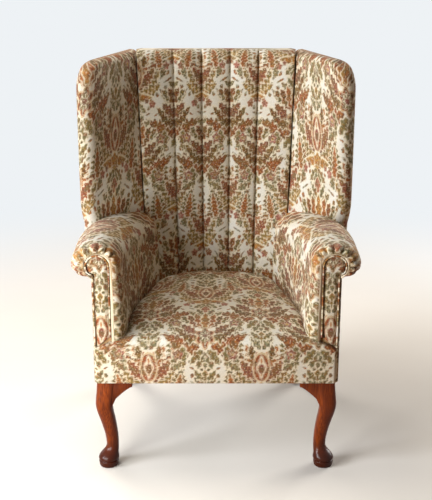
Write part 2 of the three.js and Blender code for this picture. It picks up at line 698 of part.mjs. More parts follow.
// Six-sided cord along the keyhole's edge, mitred at its points.
function piping() {
  const line = keyhole(FACING_Y, PIPING / 2 + GAP, FOOT_SLOPE.inner, FOOT_SLOPE.outer)
    .map(([x, z]) => new THREE.Vector2(x, z));
  const rings = line.map((point, i) => {
    const before = line[Math.max(0, i - 1)];
    const after = line[Math.min(line.length - 1, i + 1)];
    const across = after.clone().sub(before).normalize().rotateAround(new THREE.Vector2(), Math.PI / 2);
    return range(6).map((k) => {
      const angle = (k / 6) * Math.PI * 2;
      const side = across.clone().multiplyScalar(Math.cos(angle) * PIPING / 2);
      const depth = FACING_Y + PIPING / 2 + Math.sin(angle) * PIPING / 2;
      return new THREE.Vector3(point.x + side.x, depth, point.y + side.y);
    });
  });
  return loftWire(rings);
}

// Outside covers

function outsideArm() {
  const place = (y) => Math.max(sideX(y), BACK_HALF) + GAP;
  const rings = fromTo(0, 1, 12).map((t) => {
    const footY = lerp(FRAME_FRONT + 2, rearY(RAIL_BOTTOM) - 2, t);
    const topY = footY + t * RAKE * (NECK_END - RAIL_BOTTOM);
    const top = armTop(topY) - NECK_DROP - 2 * GAP;
    const foot = place(footY);
    const head = place(topY);
    return [[foot, footY, LEG_HEIGHT], [foot + PANEL_THICK, footY, LEG_HEIGHT],
      [head + PANEL_THICK, topY, top], [head, topY, top]].map((p) => new THREE.Vector3(...p));
  });
  return loft(rings, flatXZ);
}

// Outside of the wing, with a tail down over the back post to the outside arm.
function outsideWing() {
  const top = HEIGHT - WING_TOP_DROP - WING_ROUND;
  const seam = armTop(WING_FRONT_Y) + CLOTH_MARGIN;
  const heights = [NECK_END + CLOTH_MARGIN, seam - WING_TAIL, ...fromTo(seam, top, 8)];
  const rings = heights.map((z) => {
    const { front, normal, postFront } = wingSection(z);
    const rear = new THREE.Vector2(POST_OUTER, rearY(z) - GAP);
    const nose = front.clone().addScaledVector(normal, WING_THICK);
    const start = nose.clone().lerp(rear, z < seam ? share(postFront + CLOTH_MARGIN, nose.y, rear.y) : 0.06);
    const out = new THREE.Vector2(rear.y - nose.y, nose.x - rear.x).normalize();
    const inner = [start, rear].map((p) => p.clone().addScaledVector(out, GAP * 2));
    const outer = [rear, start].map((p) => p.clone().addScaledVector(out, GAP * 2 + PANEL_THICK));
    return [...inner, ...outer].map((p) => new THREE.Vector3(p.x, p.y, z));
  });
  return loft(rings, flatXY);
}

function outsideBack() {
  const ringAt = (z) => {
    const y = rearY(z) + GAP;
    const half = POST_OUTER;
    return [[-half, y], [half, y], [half, y + PANEL_THICK], [-half, y + PANEL_THICK]]
      .map(([px, py]) => new THREE.Vector3(px, py, z));
  };
  return loft([ringAt(RAIL_BOTTOM + GAP), ringAt(HEIGHT - BACK_ROUND)], flatXY);
}

// Webbing, springs, hessian and bottoming

const WEB_LOW = RAIL_BOTTOM - GAP - 2 * CLOTH - GAP;
const WEB_HIGH = RAIL_BOTTOM - GAP - CLOTH;

function spring(x, y) {
  const low = RAIL_BOTTOM + SPRING_WIRE / 2;
  const high = HESSIAN_HIGH - GAP - SPRING_WIRE / 2;
  const steps = SPRING_TURNS * 6;
  const points = range(steps + 1).map((i) => {
    const t = i / steps;
    const angle = t * SPRING_TURNS * Math.PI * 2;
    const radius = lerp(SPRING_WAIST, SPRING_RADIUS, (2 * t - 1) ** 2);
    return new THREE.Vector3(x + radius * Math.cos(angle), y + radius * Math.sin(angle), lerp(low, high, t));
  });
  const wire = SPRING_WIRE / 2;
  const ring = points.map((p, i) => {
    const angle = (i / steps) * SPRING_TURNS * Math.PI * 2;
    const radial = new THREE.Vector3(Math.cos(angle), Math.sin(angle), 0);
    return [[1, 0], [0, 1], [-1, 0], [0, -1]].map(([a, b]) => p.clone().addScaledVector(radial, a * wire)
      .add(new THREE.Vector3(0, 0, b * wire)));
  });
  return loftWire(ring);
}

// A wire of small rings, closed by a fan at each end.
function loftWire(rings) {
  const sides = rings[0].length;
  const index = [];
  for (let r = 0; r + 1 < rings.length; r += 1) {
    for (let i = 0; i < sides; i += 1) {
      const a = r * sides + i;
      const b = r * sides + ((i + 1) % sides);
      index.push(a, b, b + sides, a, b + sides, a + sides);
    }
  }
  const last = (rings.length - 1) * sides;
  for (let i = 1; i + 1 < sides; i += 1) index.push(i + 1, i, 0, last, last + i, last + i + 1);
  return outward(new THREE.BufferGeometry().setFromPoints(rings.flat()).setIndex(index));
}

// A sheet of even thickness on a grid of points; both faces split along the same diagonals.
function sheetOn(grid, thick) {
  const columns = grid[0].length;
  const low = grid.flat();
  const high = low.map((p) => p.clone().setZ(p.z + thick));
  const at = (r, c) => r * columns + c;
  const index = [];
  for (let r = 0; r + 1 < grid.length; r += 1) {
    for (let c = 0; c + 1 < columns; c += 1) {
      const corners = [at(r, c), at(r, c + 1), at(r + 1, c + 1), at(r + 1, c)];
      const [a, b, d, e] = corners.map((i) => i + low.length);
      index.push(corners[0], corners[2], corners[1], corners[0], corners[3], corners[2], a, b, d, a, d, e);
    }
  }
  const last = grid.length - 1;
  const rim = [
    ...range(columns).map((c) => at(0, c)),
    ...range(last).map((r) => at(r + 1, columns - 1)),
    ...range(columns - 1).map((c) => at(last, columns - 2 - c)),
    ...range(last - 1).map((r) => at(last - 1 - r, 0)),
  ];
  rim.forEach((i, k) => {
    const j = rim[(k + 1) % rim.length];
    index.push(i, j, j + low.length, i, j + low.length, i + low.length);
  });
  return outward(new THREE.BufferGeometry().setFromPoints([...low, ...high]).setIndex(index));
}

// Hessian over the springs, down on the rails all round.
function hessian() {
  const end = rearY(RAIL_TOP) - POST_DEPTH - 10;
  const fall = SEAT_DEPTH - HESSIAN_REAR;
  const legRoom = LEG_BLOCK + 3 * CLOTH_MARGIN;
  const flat = [SEAT_DEPTH * 0.36, SEAT_DEPTH * 0.56];
  const down = fromTo(fall - HESSIAN_FALL, fall, 4);
  const rows = [FRAME_FRONT + CLOTH_MARGIN, ...HESSIAN_RISE, ...flat, ...down, end];
  const grid = rows.map((y) => {
    const level = smooth(share(y, fall, fall - HESSIAN_FALL)) * (hessianTop(y) - CLOTH - HESSIAN_LOW);
    const edge = y < FRAME_FRONT + legRoom ? FRONT_HALF - legRoom : sideX(y) - 6;
    const arm = armInnerX(y) - HESSIAN_ARM_ROOM;
    const half = [[arm / 3, level], [arm - HESSIAN_SHOULDER, level], [arm, 0], [edge, 0]];
    const across = [...half.map(([x, z]) => [-x, z]).reverse(), ...half];
    return across.map(([x, z]) => new THREE.Vector3(x, y, HESSIAN_LOW + z));
  });
  return sheetOn(grid, CLOTH);
}

// Black cloth under the webbing, notched round the rear legs.
function bottoming() {
  const margin = 2 * CLOTH_MARGIN;
  const wide = FRONT_HALF - LEG_BLOCK - margin;
  const narrow = POST_INNER - CLOTH_MARGIN;
  const front = FRAME_FRONT + CLOTH_MARGIN;
  const notch = rearY(RAIL_BOTTOM) - POST_DEPTH - margin;
  const rear = rearY(RAIL_BOTTOM) - margin;
  const outline = [[-wide, front], [wide, front], [wide, notch], [narrow, notch], [narrow, rear],
    [-narrow, rear], [-narrow, notch], [-wide, notch]];
  const ringAt = (z) => outline.map(([x, y]) => new THREE.Vector3(x, y, z));
  return loft([ringAt(WEB_LOW - GAP - CLOTH), ringAt(WEB_LOW - GAP)], flatXY);
}

// Assembly

const rails = seatRails();
const rear = rearLeg();
const armBoard = armPost();
const armBar = armRail();
const wingUpright = wingPost();
const wingBar = wingRail();
const topRail = backRail(HEIGHT - TOP_RAIL_DROP - TOP_RAIL_HEIGHT, HEIGHT - TOP_RAIL_DROP);
const stuffingLow = SEAT_TOP - STUFFING_RAIL_DROP;
const stuffingRail = backRail(stuffingLow, stuffingLow + STUFFING_RAIL_HEIGHT);
const bothSides = (geometry) => [geometry, mirrored(geometry)];
const rears = bothSides(rear);
const wingUprights = bothSides(wingUpright);
const wingBars = bothSides(wingBar);

const back = fitted(insideBack(), [topRail, stuffingRail, ...rears, rails.back]);
const arms = bothSides(armPad()).map((pad, side) => fitted(pad, [back, rears[side], wingUprights[side]]));
const wings = bothSides(wingPad()).map((pad, side) => fitted(pad,
  [arms[side], back, topRail, rears[side], wingUprights[side], wingBars[side]]));
const seat = fitted(joined(seatSlab(), apron()),
  [...arms, back, ...bothSides(facing()), ...bothSides(piping()), ...bothSides(armBoard)]);

piece('front_seat_rail', rails.front, BEECH());
piece('back_seat_rail', rails.back, BEECH());
pair('seat_rail', rails.side, BEECH);
const frontCornerX = FRONT_HALF - LEG_BLOCK - 3 * GAP;
pair('front_corner_block', cornerBlock(frontCornerX, FRAME_FRONT + RAIL_THICK + GAP, -1, 1), BEECH);
const rearCornerY = rearY(RAIL_BOTTOM) - RAIL_THICK - GAP;
pair('rear_corner_block', cornerBlock(POST_INNER - 2 * GAP, rearCornerY, -1, -1), BEECH);
pair('front_leg', frontLeg(), MAHOGANY);
const ears = kneeEars();
pair('front_knee_ear', ears.front, MAHOGANY);
pair('side_knee_ear', ears.side, MAHOGANY);
pair('rear_leg', rear, MAHOGANY);
pair('arm_post', armBoard, BEECH);
pair('arm_rail', armBar, BEECH);
pair('wing_post', wingUpright, BEECH);
pair('wing_rail', wingBar, BEECH);
piece('top_rail', topRail, BEECH());
piece('stuffing_rail', stuffingRail, BEECH());

for (const [i, x] of [-SPRING_PITCH, 0, SPRING_PITCH].entries()) {
  const webY = [FRAME_FRONT + CLOTH_MARGIN, rearY(RAIL_BOTTOM) - CLOTH_MARGIN];
  piece(`seat_strap_long_${i + 1}`,
    block(x - STRAP_WIDTH / 2, webY[0], WEB_LOW, x + STRAP_WIDTH / 2, webY[1], WEB_LOW + CLOTH), JUTE());
  const y = SEAT_DEPTH / 2 + x;
  const reach = sideX(y) - 2 * CLOTH_MARGIN;
  piece(`seat_strap_cross_${i + 1}`,
    block(-reach, y - STRAP_WIDTH / 2, WEB_HIGH, reach, y + STRAP_WIDTH / 2, WEB_HIGH + CLOTH), JUTE());
  for (const [j, sy] of [-SPRING_PITCH, 0, SPRING_PITCH].entries()) {
    piece(`seat_spring_${i * 3 + j + 1}`, spring(x, SEAT_DEPTH / 2 + sy), STEEL());
  }
}
piece('seat_hessian', hessian(), JUTE());

for (const [i, x] of [-SPRING_PITCH / 2, SPRING_PITCH / 2].entries()) {
  const front = GAP - BACK_WEB_ROOM;
  const corners = [[-1, front], [1, front], [1, front + CLOTH], [-1, front + CLOTH]];
  const ringAt = (z) => corners.map(([s, y]) => new THREE.Vector3(x + s * STRAP_WIDTH / 2, rearY(z) + y, z));
  const ends = [SEAT_TOP, HEIGHT - TOP_RAIL_DROP].map((z) => ringAt(z - 10));
  piece(`back_strap_${i + 1}`, loft(ends, flatXY), JUTE());
}

piece('seat_pad', seat, DAMASK());
piece('inside_back', back, DAMASK());
for (const [side, name] of ['right', 'left'].entries()) {
  piece(`${name}_wing_pad`, wings[side], DAMASK());
  piece(`${name}_arm_pad`, arms[side], DAMASK());
}
pair('arm_facing', facing(), DAMASK);
pair('arm_piping', piping(), PIPED);
pair('outside_arm', outsideArm(), DAMASK);
pair('outside_wing', outsideWing(), DAMASK);
piece('outside_back', outsideBack(), DAMASK());
piece('bottoming_cloth', bottoming(), BLACK_CLOTH());

// Stand the chair with the middle of its footprint over the origin.
const box = new THREE.Box3().setFromObject(chair);
chair.position.set(0, -(box.min.y + box.max.y) / 2, -box.min.z);

export default chair;
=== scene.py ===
"""Fluted wing armchair: damask upholstery, polished legs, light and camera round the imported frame.

Metres, +Z up, the sitter faces -Y. Surfaces are worked out with depths measured back from the
apron's front face, and make_piece sets them into the chair's own frame.
"""
import json
import math

import bpy
import numpy as np
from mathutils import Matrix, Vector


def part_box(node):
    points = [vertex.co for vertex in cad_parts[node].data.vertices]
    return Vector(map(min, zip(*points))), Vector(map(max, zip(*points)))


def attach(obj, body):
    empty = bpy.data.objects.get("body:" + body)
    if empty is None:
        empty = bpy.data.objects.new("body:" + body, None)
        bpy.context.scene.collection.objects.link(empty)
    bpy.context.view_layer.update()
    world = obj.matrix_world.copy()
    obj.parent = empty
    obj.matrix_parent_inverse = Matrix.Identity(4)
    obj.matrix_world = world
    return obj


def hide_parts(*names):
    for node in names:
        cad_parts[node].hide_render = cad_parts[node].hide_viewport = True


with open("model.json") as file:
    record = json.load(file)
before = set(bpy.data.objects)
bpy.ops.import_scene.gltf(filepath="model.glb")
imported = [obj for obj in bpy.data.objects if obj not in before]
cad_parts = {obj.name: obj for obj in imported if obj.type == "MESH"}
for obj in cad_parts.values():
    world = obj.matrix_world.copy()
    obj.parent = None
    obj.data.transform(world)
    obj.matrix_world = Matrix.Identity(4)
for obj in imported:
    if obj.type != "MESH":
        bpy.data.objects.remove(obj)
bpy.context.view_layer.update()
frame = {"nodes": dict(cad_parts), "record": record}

# Driving sizes in metres, the same as the solids have, apart from a smaller sweep at the wing's foot
HEIGHT = 1.078
LEG_HEIGHT = 0.270
FRONT_HALF = 0.323
MID_HALF = 0.330
BACK_HALF = 0.287
SEAT_DEPTH = 0.500
SEAT_TOP = 0.424
SEAT_EDGE = 0.396
RAKE = math.tan(math.radians(15))
BACK_THICK = 0.055
CREASE_TOP = 0.245
CREASE_SEAT = 0.213
BARREL_TOP = 0.050
BARREL_SEAT = 0.028
CHANNEL_CROWN = 0.014
SEAMS = np.array([-1, -0.54, -0.18, 0.18, 0.54, 1])
PAD_BOTTOM = 0.351
POST_DEPTH = 0.045
WING_FRONT_X = 0.345
WING_FLARE = 0.008
WING_FRONT_Y = 0.384
WING_THICK = 0.052
WING_CORNER = 0.078
WING_FOOT_SWEEP = 0.004
WING_FOOT_REACH = 0.045
WING_TOP = HEIGHT - 0.003
WING_ROUND = 0.022
ARM_TOP = 0.656
ARM_SLOPE = 0.09
ARM_INNER_FRONT = 0.243
ARM_INNER_BACK = 0.180
ARM_BACK_Y = 0.480
ARM_CURVE = 2.5
ROLL_OVERHANG = 0.053
ROLL_WING_OVERHANG = 0.070
STEM_WIDTH = 0.047
HEAD_RADIUS = 0.033
HEAD_DROP = 0.026
NECK_DROP = 0.090
FACING_Y = 0.008
PIPING = 0.005
FRONT_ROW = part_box("seat_pad")[0].y

MM_PER_METRE = 1000

# Spacing of the points on the covers, and on the outside panels
FINE = 0.0024
COARSE = 0.0036


def mix(a, b, t):
    """A value a share t of the way from a to b."""
    return a + (b - a) * t


def smooth(t):
    """A soft step from 0 to 1: a cubic with level ends."""
    t = np.clip(t, 0.0, 1.0)
    return t * t * (3 - 2 * t)


def share(value, start, end):
    """How far a value lies from start to end, as a share."""
    return (value - start) / (end - start)


def spread(start, end, step):
    """Evenly spaced values from start to end, about step apart."""
    return np.linspace(start, end, max(2, int(round(abs(end - start) / step)) + 1))


# Places that several covers share

def back_y(z):
    """Depth of the inside back at a height: a plane that leans back from the seat."""
    return SEAT_DEPTH + (z - SEAT_TOP) * RAKE


def rear_y(z):
    """Depth of the outside back, one thickness behind the inside."""
    return back_y(z) + BACK_THICK


def crease_x(z):
    """Half width of the back between the wings, in even steps from seat to top."""
    return mix(CREASE_SEAT, CREASE_TOP, share(z, SEAT_TOP, HEIGHT))


def barrel(z):
    """How far the sides of the back come forward, in even steps from seat to top."""
    return mix(BARREL_SEAT, BARREL_TOP, share(z, SEAT_TOP, HEIGHT))


POST_FOOT_Z = LEG_HEIGHT + 0.005
POST_FOOT_Y = rear_y(POST_FOOT_Z)


def side_x(y):
    """Outer face of the bowed side frame: a parabola through three half widths."""
    t = y / POST_FOOT_Y
    return FRONT_HALF * (1 - t) * (1 - 2 * t) + 4 * MID_HALF * t * (1 - t) + BACK_HALF * t * (2 * t - 1)


def arm_top(y):
    """Height of the roll's top, which falls evenly towards the back."""
    return ARM_TOP - ARM_SLOPE * y


def arm_inner(y):
    """Inner face of the arm: nearly straight at the front, then round towards the back."""
    return mix(ARM_INNER_FRONT, ARM_INNER_BACK, np.maximum(0, y / ARM_BACK_Y) ** ARM_CURVE)


ARM_RUN = SEAT_DEPTH + 0.04
NECK_END = arm_top(ARM_RUN) - NECK_DROP
ARM_END = rear_y(NECK_END) - POST_DEPTH


# Damask print: a column of two flower groups, mirrored about its axis; the next column drops by a quarter
COLUMN = 0.150
REPEAT = 0.460
DROP = REPEAT / 4
MOTIF_WIDE = 1.06
MOTIF_TALL = 1.22
# Softness of the edges, then the pale rim and the border of a leaf and of a round
SOFT_EDGE = 0.0018
RIM_EDGE = 0.003
LEAF_RIM = 0.0048
LEAF_BORDER = 0.0024
ROUND_RIM = 0.003
ROUND_BORDER = 0.002
# Pitch of a leaf's veins, waver of the drawing, strength of the small foliage
VEIN_PITCH = 0.0100
WARP = 0.0005
FOLIAGE = 0.75


def srgb(r, g, b):
    """A colour given in 0 to 255 steps, as linear light."""
    c = np.array([r, g, b]) / 255
    return np.where(c <= 0.04045, c / 12.92, ((c + 0.055) / 1.055) ** 2.4)


CREAM = srgb(222, 218, 208)
AGED = srgb(206, 194, 166)
PALE = srgb(224, 212, 186)
RUST = srgb(152, 77, 36)
ORANGE = srgb(180, 108, 46)
BROWN = srgb(100, 57, 28)
OLIVE = srgb(114, 96, 46)
SAGE = srgb(146, 142, 108)
SLATE = srgb(96, 91, 62)
MAUVE = srgb(136, 77, 64)
ROSE = srgb(184, 122, 104)
GOLD = srgb(186, 146, 78)

# Leaves: group height, base across and up, angle in degrees, length, half width, bend, teeth, body, edge
GROUP_A = 0.0
GROUP_B = 0.200
LEAVES = [
    (GROUP_A, 74, -4, 96, 94, 21, 0.1, 9, OLIVE, SLATE),
    (GROUP_A, 73, 2, 96, 78, 10, 0.1, 8, RUST, ORANGE),
    (GROUP_A, 76, -8, 60, 34, 9, 0.4, 4, SAGE, SLATE),
    (GROUP_A, 70, -8, 128, 34, 9, -0.4, 4, SLATE, SAGE),
    (GROUP_A, 12, -44, 2, 64, 17, 0.5, 5, GOLD, OLIVE),
    (GROUP_A, 12, -40, 30, 76, 19, 0.3, 6, OLIVE, GOLD),
    (GROUP_A, 10, -38, 60, 84, 20, -0.3, 6, RUST, BROWN),
    (GROUP_A, 16, -30, 44, 62, 13, 0.2, 5, MAUVE, RUST),
    (GROUP_A, 8, -8, 74, 64, 16, -0.5, 5, RUST, ORANGE),
    (GROUP_A, 22, 18, 70, 34, 9, 0.5, 3, BROWN, OLIVE),
    (GROUP_A, 0, 42, 90, 48, 10, 0.0, 3, OLIVE, GOLD),
    (GROUP_A, 3, 40, 58, 38, 8, -0.4, 3, SAGE, SLATE),
    (GROUP_A, 4, 62, 30, 34, 8, 0.6, 3, OLIVE, SAGE),
    (GROUP_A, 6, -52, -28, 42, 10, 0.8, 0, ORANGE, GOLD),
    (GROUP_A, 0, -88, 90, 36, 14, 0.0, 4, GOLD, ORANGE),
    (GROUP_A, 3, -70, -50, 38, 9, 0.3, 3, SAGE, OLIVE),
    (GROUP_A, 3, -78, -75, 34, 8, 0.2, 3, OLIVE, SAGE),
    (GROUP_A, 5, 84, 48, 40, 9, 0.5, 4, OLIVE, SLATE),
    (GROUP_A, 0, 88, 90, 34, 11, 0.0, 0, MAUVE, ROSE),
    (GROUP_A, 75, 82, 90, 46, 11, 0.0, 4, SLATE, SAGE),
    (GROUP_A, 70, 90, 140, 40, 10, -0.5, 4, SAGE, OLIVE),
    (GROUP_A, 46, 112, 40, 36, 8, 0.6, 3, OLIVE, SAGE),
    (GROUP_B, 0, 96, 90, 32, 12, 0.0, 0, ROSE, RUST),
    (GROUP_B, 4, 88, 40, 32, 8, 0.4, 3, SLATE, SAGE),
    (GROUP_B, 8, 80, 12, 40, 9, 0.6, 4, SAGE, OLIVE),
    (GROUP_B, 6, 50, 2, 62, 12, 0.5, 5, SLATE, SAGE),
    (GROUP_B, 6, 42, 24, 68, 14, 0.3, 5, OLIVE, SLATE),
    (GROUP_B, 4, 28, 48, 70, 14, 0.2, 4, BROWN, RUST),
    (GROUP_B, 2, 26, 70, 70, 12, 0.0, 4, RUST, ORANGE),
    (GROUP_B, 0, 28, 90, 70, 11, 0.0, 4, ORANGE, GOLD),
    (GROUP_B, 14, -24, -10, 90, 22, 1.1, 6, RUST, BROWN),
    (GROUP_B, 18, -8, 12, 70, 16, 0.9, 5, BROWN, OLIVE),
    (GROUP_B, 22, 10, 34, 54, 13, 0.3, 4, MAUVE, BROWN),
    (GROUP_B, 0, -34, -90, 44, 9, 0.0, 3, SAGE, SLATE),
    (GROUP_B, 3, -34, -62, 46, 10, -0.3, 3, SLATE, SAGE),
    (GROUP_B, 6, -32, -36, 46, 10, -0.4, 3, OLIVE, SAGE),
    (GROUP_B, 52, -58, 74, 38, 11, 0.3, 3, OLIVE, SAGE),
    (GROUP_B, 60, -62, -40, 34, 9, 0.4, 3, SAGE, OLIVE),
]
# Rounds: group height, centre across and up, half width, half height, petals, body, petal colour
ROUNDS = [
    (GROUP_A, 0, -2, 22, 46, 0, GOLD, GOLD),
    (GROUP_A, 0, -3, 19, 42, 0, RUST, BROWN),
    (GROUP_A, 0, -2, 13, 28, 4, PALE, ORANGE),
    (GROUP_A, 0, -6, 8, 16, 0, MAUVE, MAUVE),
    (GROUP_A, 0, -52, 17, 14, 5, GOLD, ORANGE),
    (GROUP_B, 0, 0, 28, 32, 6, GOLD, ORANGE),
    (GROUP_B, 0, 0, 24, 28, 6, RUST, BROWN),
    (GROUP_B, 0, 0, 16, 19, 8, OLIVE, PALE),
    (GROUP_B, 0, 0, 7, 8, 0, MAUVE, MAUVE),
    (GROUP_B, 68, -42, 14, 14, 5, MAUVE, ROSE),
    (GROUP_B, 68, -42, 5, 5, 0, GOLD, GOLD),
    (GROUP_A, 50, -74, 11, 11, 5, ROSE, MAUVE),
    (GROUP_A, 34, -66, 7, 7, 5, MAUVE, ROSE),
]


def wrapped(value, size):
    """Value brought to within half a size of zero."""
    return (value + size / 2) % size - size / 2


def paint(colour, mask, tint):
    """Lay a tint over the colours in place, as thick as the mask says."""
    colour[...] = mix(colour, tint, mask[:, None])


def paint_leaf(colour, x, y, row):
    """A pointed leaf along a bent midrib, its half width a sine with teeth, a pale rim and veins."""
    _, base_x, base_y, angle, length, width, bend, teeth, body, edge = row
    base_x, base_y, length, width = (v / MM_PER_METRE for v in (base_x, base_y, length, width))
    near = np.hypot(x - base_x, y - base_y) < length * 1.25 + width
    if not near.any():
        return
    dx = x[near] - base_x
    dy = y[near] - base_y
    a = math.radians(angle)
    along = (dx * math.cos(a) + dy * math.sin(a)) / length
    across = -dx * math.sin(a) + dy * math.cos(a) - bend * length * 0.5 * np.clip(along, 0, 1.2) ** 2
    inside = np.clip(along, 0, 1)
    half = width * np.sin(np.pi * inside ** 0.8) ** 0.85
    half = half * (1 + 0.26 * np.sin(2 * np.pi * teeth * inside) * (teeth > 0))
    depth = half - np.abs(across)
    on = (along > 0) & (along < 1)
    part = colour[near]
    paint(part, smooth((depth + LEAF_RIM) / RIM_EDGE) * on * 0.85, PALE)
    paint(part, smooth(depth / SOFT_EDGE) * on, edge)
    paint(part, smooth((depth - LEAF_BORDER) / SOFT_EDGE) * on, body)
    veins = 0.5 + 0.5 * np.sin((inside * length - np.abs(across) * 0.9) * 2 * np.pi / VEIN_PITCH)
    core = smooth((depth - 0.001) / 0.003) * on
    paint(part, core * veins ** 2 * 0.6, edge * 0.6)
    paint(part, core * (1 - veins) ** 4 * 0.45, GOLD)
    colour[near] = part


def paint_round(colour, x, y, row):
    """An oval or a flower whose radius swells and shrinks with the petals."""
    _, cx, cy, wide, tall, petals, body, petal = row
    cx, cy, wide, tall = (v / MM_PER_METRE for v in (cx, cy, wide, tall))
    near = (np.abs(x - cx) < wide * 1.4) & (np.abs(y - cy) < tall * 1.4)
    if not near.any():
        return
    dx = (x[near] - cx) / wide
    dy = (y[near] - cy) / tall
    angle = np.arctan2(dx, dy)
    wave = 0.5 + 0.5 * np.cos(petals * angle)
    rim = 1 - 0.28 * (1 - wave) * (petals > 0)
    rim = rim * np.where(petals > 0, 1.0, 1 - 0.30 * np.clip(np.abs(dy), 0, 1) ** 2 * np.abs(np.cos(angle)))
    depth = (rim - np.hypot(dx, dy)) * min(wide, tall)
    part = colour[near]
    paint(part, smooth((depth + ROUND_RIM) / RIM_EDGE) * 0.6, PALE)
    paint(part, smooth(depth / SOFT_EDGE), body)
    paint(part, smooth((depth - ROUND_BORDER) / SOFT_EDGE) * wave ** 2 * (petals > 0), petal)
    colour[near] = part


def paint_foliage(colour, x, y):
    """Small leaves on the ground between the groups: crossed waves cut to leaf shapes."""
    lean = np.sin(2 * np.pi * y / 0.115 + 0.8) * 0.012
    first = np.sin(2 * np.pi * (x + lean + 0.35 * y) / 0.031 + 1.1 * np.sin(2 * np.pi * y / 0.046))
    second = np.sin(2 * np.pi * (y - 0.45 * x) / 0.042 + 0.9 * np.sin(2 * np.pi * x / 0.05))
    choice = 0.5 + 0.5 * np.sin(2 * np.pi * x / 0.075 + 3 * np.sin(2 * np.pi * y / 0.09))
    spray = smooth((first * second - 0.45) / 0.2)
    paint(colour, FOLIAGE * spray, SAGE)
    for start, tint in ((0.45, OLIVE), (0.75, ORANGE)):
        paint(colour, FOLIAGE * spray * smooth((choice - start) / 0.15), tint)


def damask(s, t):
    """Linear colour of the print at cloth places s across and t up, in metres."""
    fold = np.abs(wrapped(s, 2 * COLUMN))
    shiver = WARP * (np.sin(s * 610 + 2 * np.sin(t * 330)) + 0.7 * np.sin(s * 1130 + t * 940))
    waver = WARP * (np.sin(t * 570 + 2 * np.sin(s * 290)) + 0.7 * np.sin(t * 1210 - s * 870))
    colour = np.tile(CREAM, (s.size, 1))
    drift = 0.5 + 0.5 * np.sin(s * 61 + 2 * np.sin(t * 23)) * np.sin(t * 47 + 1.7 * np.sin(s * 31))
    paint(colour, 0.35 * drift, AGED)
    columns = ((fold + shiver, t + waver), (COLUMN - fold + shiver, t + waver + DROP))
    paint_foliage(colour, *columns[0])
    for rows, brush in ((LEAVES, paint_leaf), (ROUNDS, paint_round)):
        for x, up in columns:
            for row in rows:
                brush(colour, x / MOTIF_WIDE, wrapped(up - row[0], REPEAT) / MOTIF_TALL, row)
    return colour


# Mesh making

def grid_faces(rows, columns, closed):
    """Corner numbers of the quads of a grid; closed joins the last column to the first."""
    i = np.arange(rows - 1)[:, None] * columns
    j = np.arange(columns if closed else columns - 1)[None, :]
    k = (j + 1) % columns
    return np.stack([i + j, i + k, i + columns + k, i + columns + j], axis=-1).reshape(-1, 4)


def rim_of(rows, columns):
    """Corner numbers round the edge of an open grid."""
    grid = np.arange(rows * columns).reshape(rows, columns)
    return np.concatenate([grid[0, :-1], grid[:-1, -1], grid[-1, :0:-1], grid[:0:-1, 0]])


def turns_inward(points, quads):
    """True where the quads of a closed body enclose a negative volume."""
    p = points[quads] - points.mean(axis=0)
    first = np.einsum("ij,ij->i", p[:, 0], np.cross(p[:, 1], p[:, 2]))
    second = np.einsum("ij,ij->i", p[:, 0], np.cross(p[:, 2], p[:, 3]))
    return (first + second).sum() < 0


# How much darker than the ground a motif starts to count, and the span to its full strength
MOTIF_START = 0.22
MOTIF_SPAN = 0.3


def make_piece(name, points, material, closed=False, caps=False, cloth=None, back=False):
    """A grid of points as a mesh: closed rings with capped ends, or an open sheet, which one face
    closes behind where back is true. cloth holds each point's place on the uncut cloth."""
    rows, columns = points.shape[:2]
    flat = points.reshape(-1, 3) + np.array([0.0, FRONT_ROW, 0.0])
    quads = grid_faces(rows, columns, closed)
    ends = []
    if caps:
        ends = [np.arange(columns)[::-1], np.arange(columns) + (rows - 1) * columns]
    if back:
        ends = [rim_of(rows, columns)[::-1]]
    if turns_inward(flat, quads):
        quads = quads[:, ::-1]
        ends = [end[::-1] for end in ends]
    mesh = bpy.data.meshes.new(name)
    mesh.from_pydata(flat.tolist(), [], quads.tolist() + [end.tolist() for end in ends])
    mesh.polygons.foreach_set("use_smooth", np.ones(len(mesh.polygons), dtype=bool))
    if cloth is not None:
        places = cloth.reshape(-1, 2)
        corner = np.empty(len(mesh.loops), dtype=np.int32)
        mesh.loops.foreach_get("vertex_index", corner)
        mesh.uv_layers.new(name="cloth").data.foreach_set("uv", places[corner].ravel().astype(np.float32))
        colour = np.ones((len(places), 4), dtype=np.float32)
        colour[:, :3] = damask(places[:, 0], places[:, 1])
        mesh.attributes.new("print", "FLOAT_COLOR", "POINT").data.foreach_set("color", colour.ravel())
        darker = 1 - colour[:, :3].mean(axis=1) / CREAM.mean()
        motif = smooth((darker - MOTIF_START) / MOTIF_SPAN).astype(np.float32)
        mesh.attributes.new("motif", "FLOAT", "POINT").data.foreach_set("value", motif)
    mesh.materials.append(material)
    mesh.update()
    piece = bpy.data.objects.new(name, mesh)
    bpy.context.scene.collection.objects.link(piece)
    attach(piece, "root")
    return piece


def ripple(a, b, size):
    """Gentle unevenness of stuffed cloth: a few crossed sines of two coordinates."""
    broad = np.sin(a * 23 + 1.3) * np.sin(b * 19 + 0.4)
    slanted = 0.6 * np.sin(a * 41 + b * 33)
    fine = 0.4 * np.sin(b * 57 - a * 13)
    return size * (broad + slanted + fine)


def stack(*parts):
    """Coordinates, spread to one grid, as the points of that grid."""
    return np.stack(np.broadcast_arrays(*parts), axis=-1)


def travelled(points, axis):
    """Length from the start to each point along one axis of a grid: the steps added up."""
    steps = np.linalg.norm(np.diff(points, axis=axis), axis=-1)
    start = np.zeros_like(np.take(steps, [0], axis=axis))
    return np.concatenate([start, np.cumsum(steps, axis=axis)], axis=axis)


# Materials

def new_material(name):
    """A material with its node tree and its shader node."""
    material = bpy.data.materials.new(name)
    material.use_nodes = True
    tree = material.node_tree
    return material, tree, tree.nodes["Principled BSDF"]


def node(tree, kind, **values):
    """A new node of a kind, with the given settings."""
    made = tree.nodes.new(kind)
    for key, value in values.items():
        setattr(made, key, value)
    return made


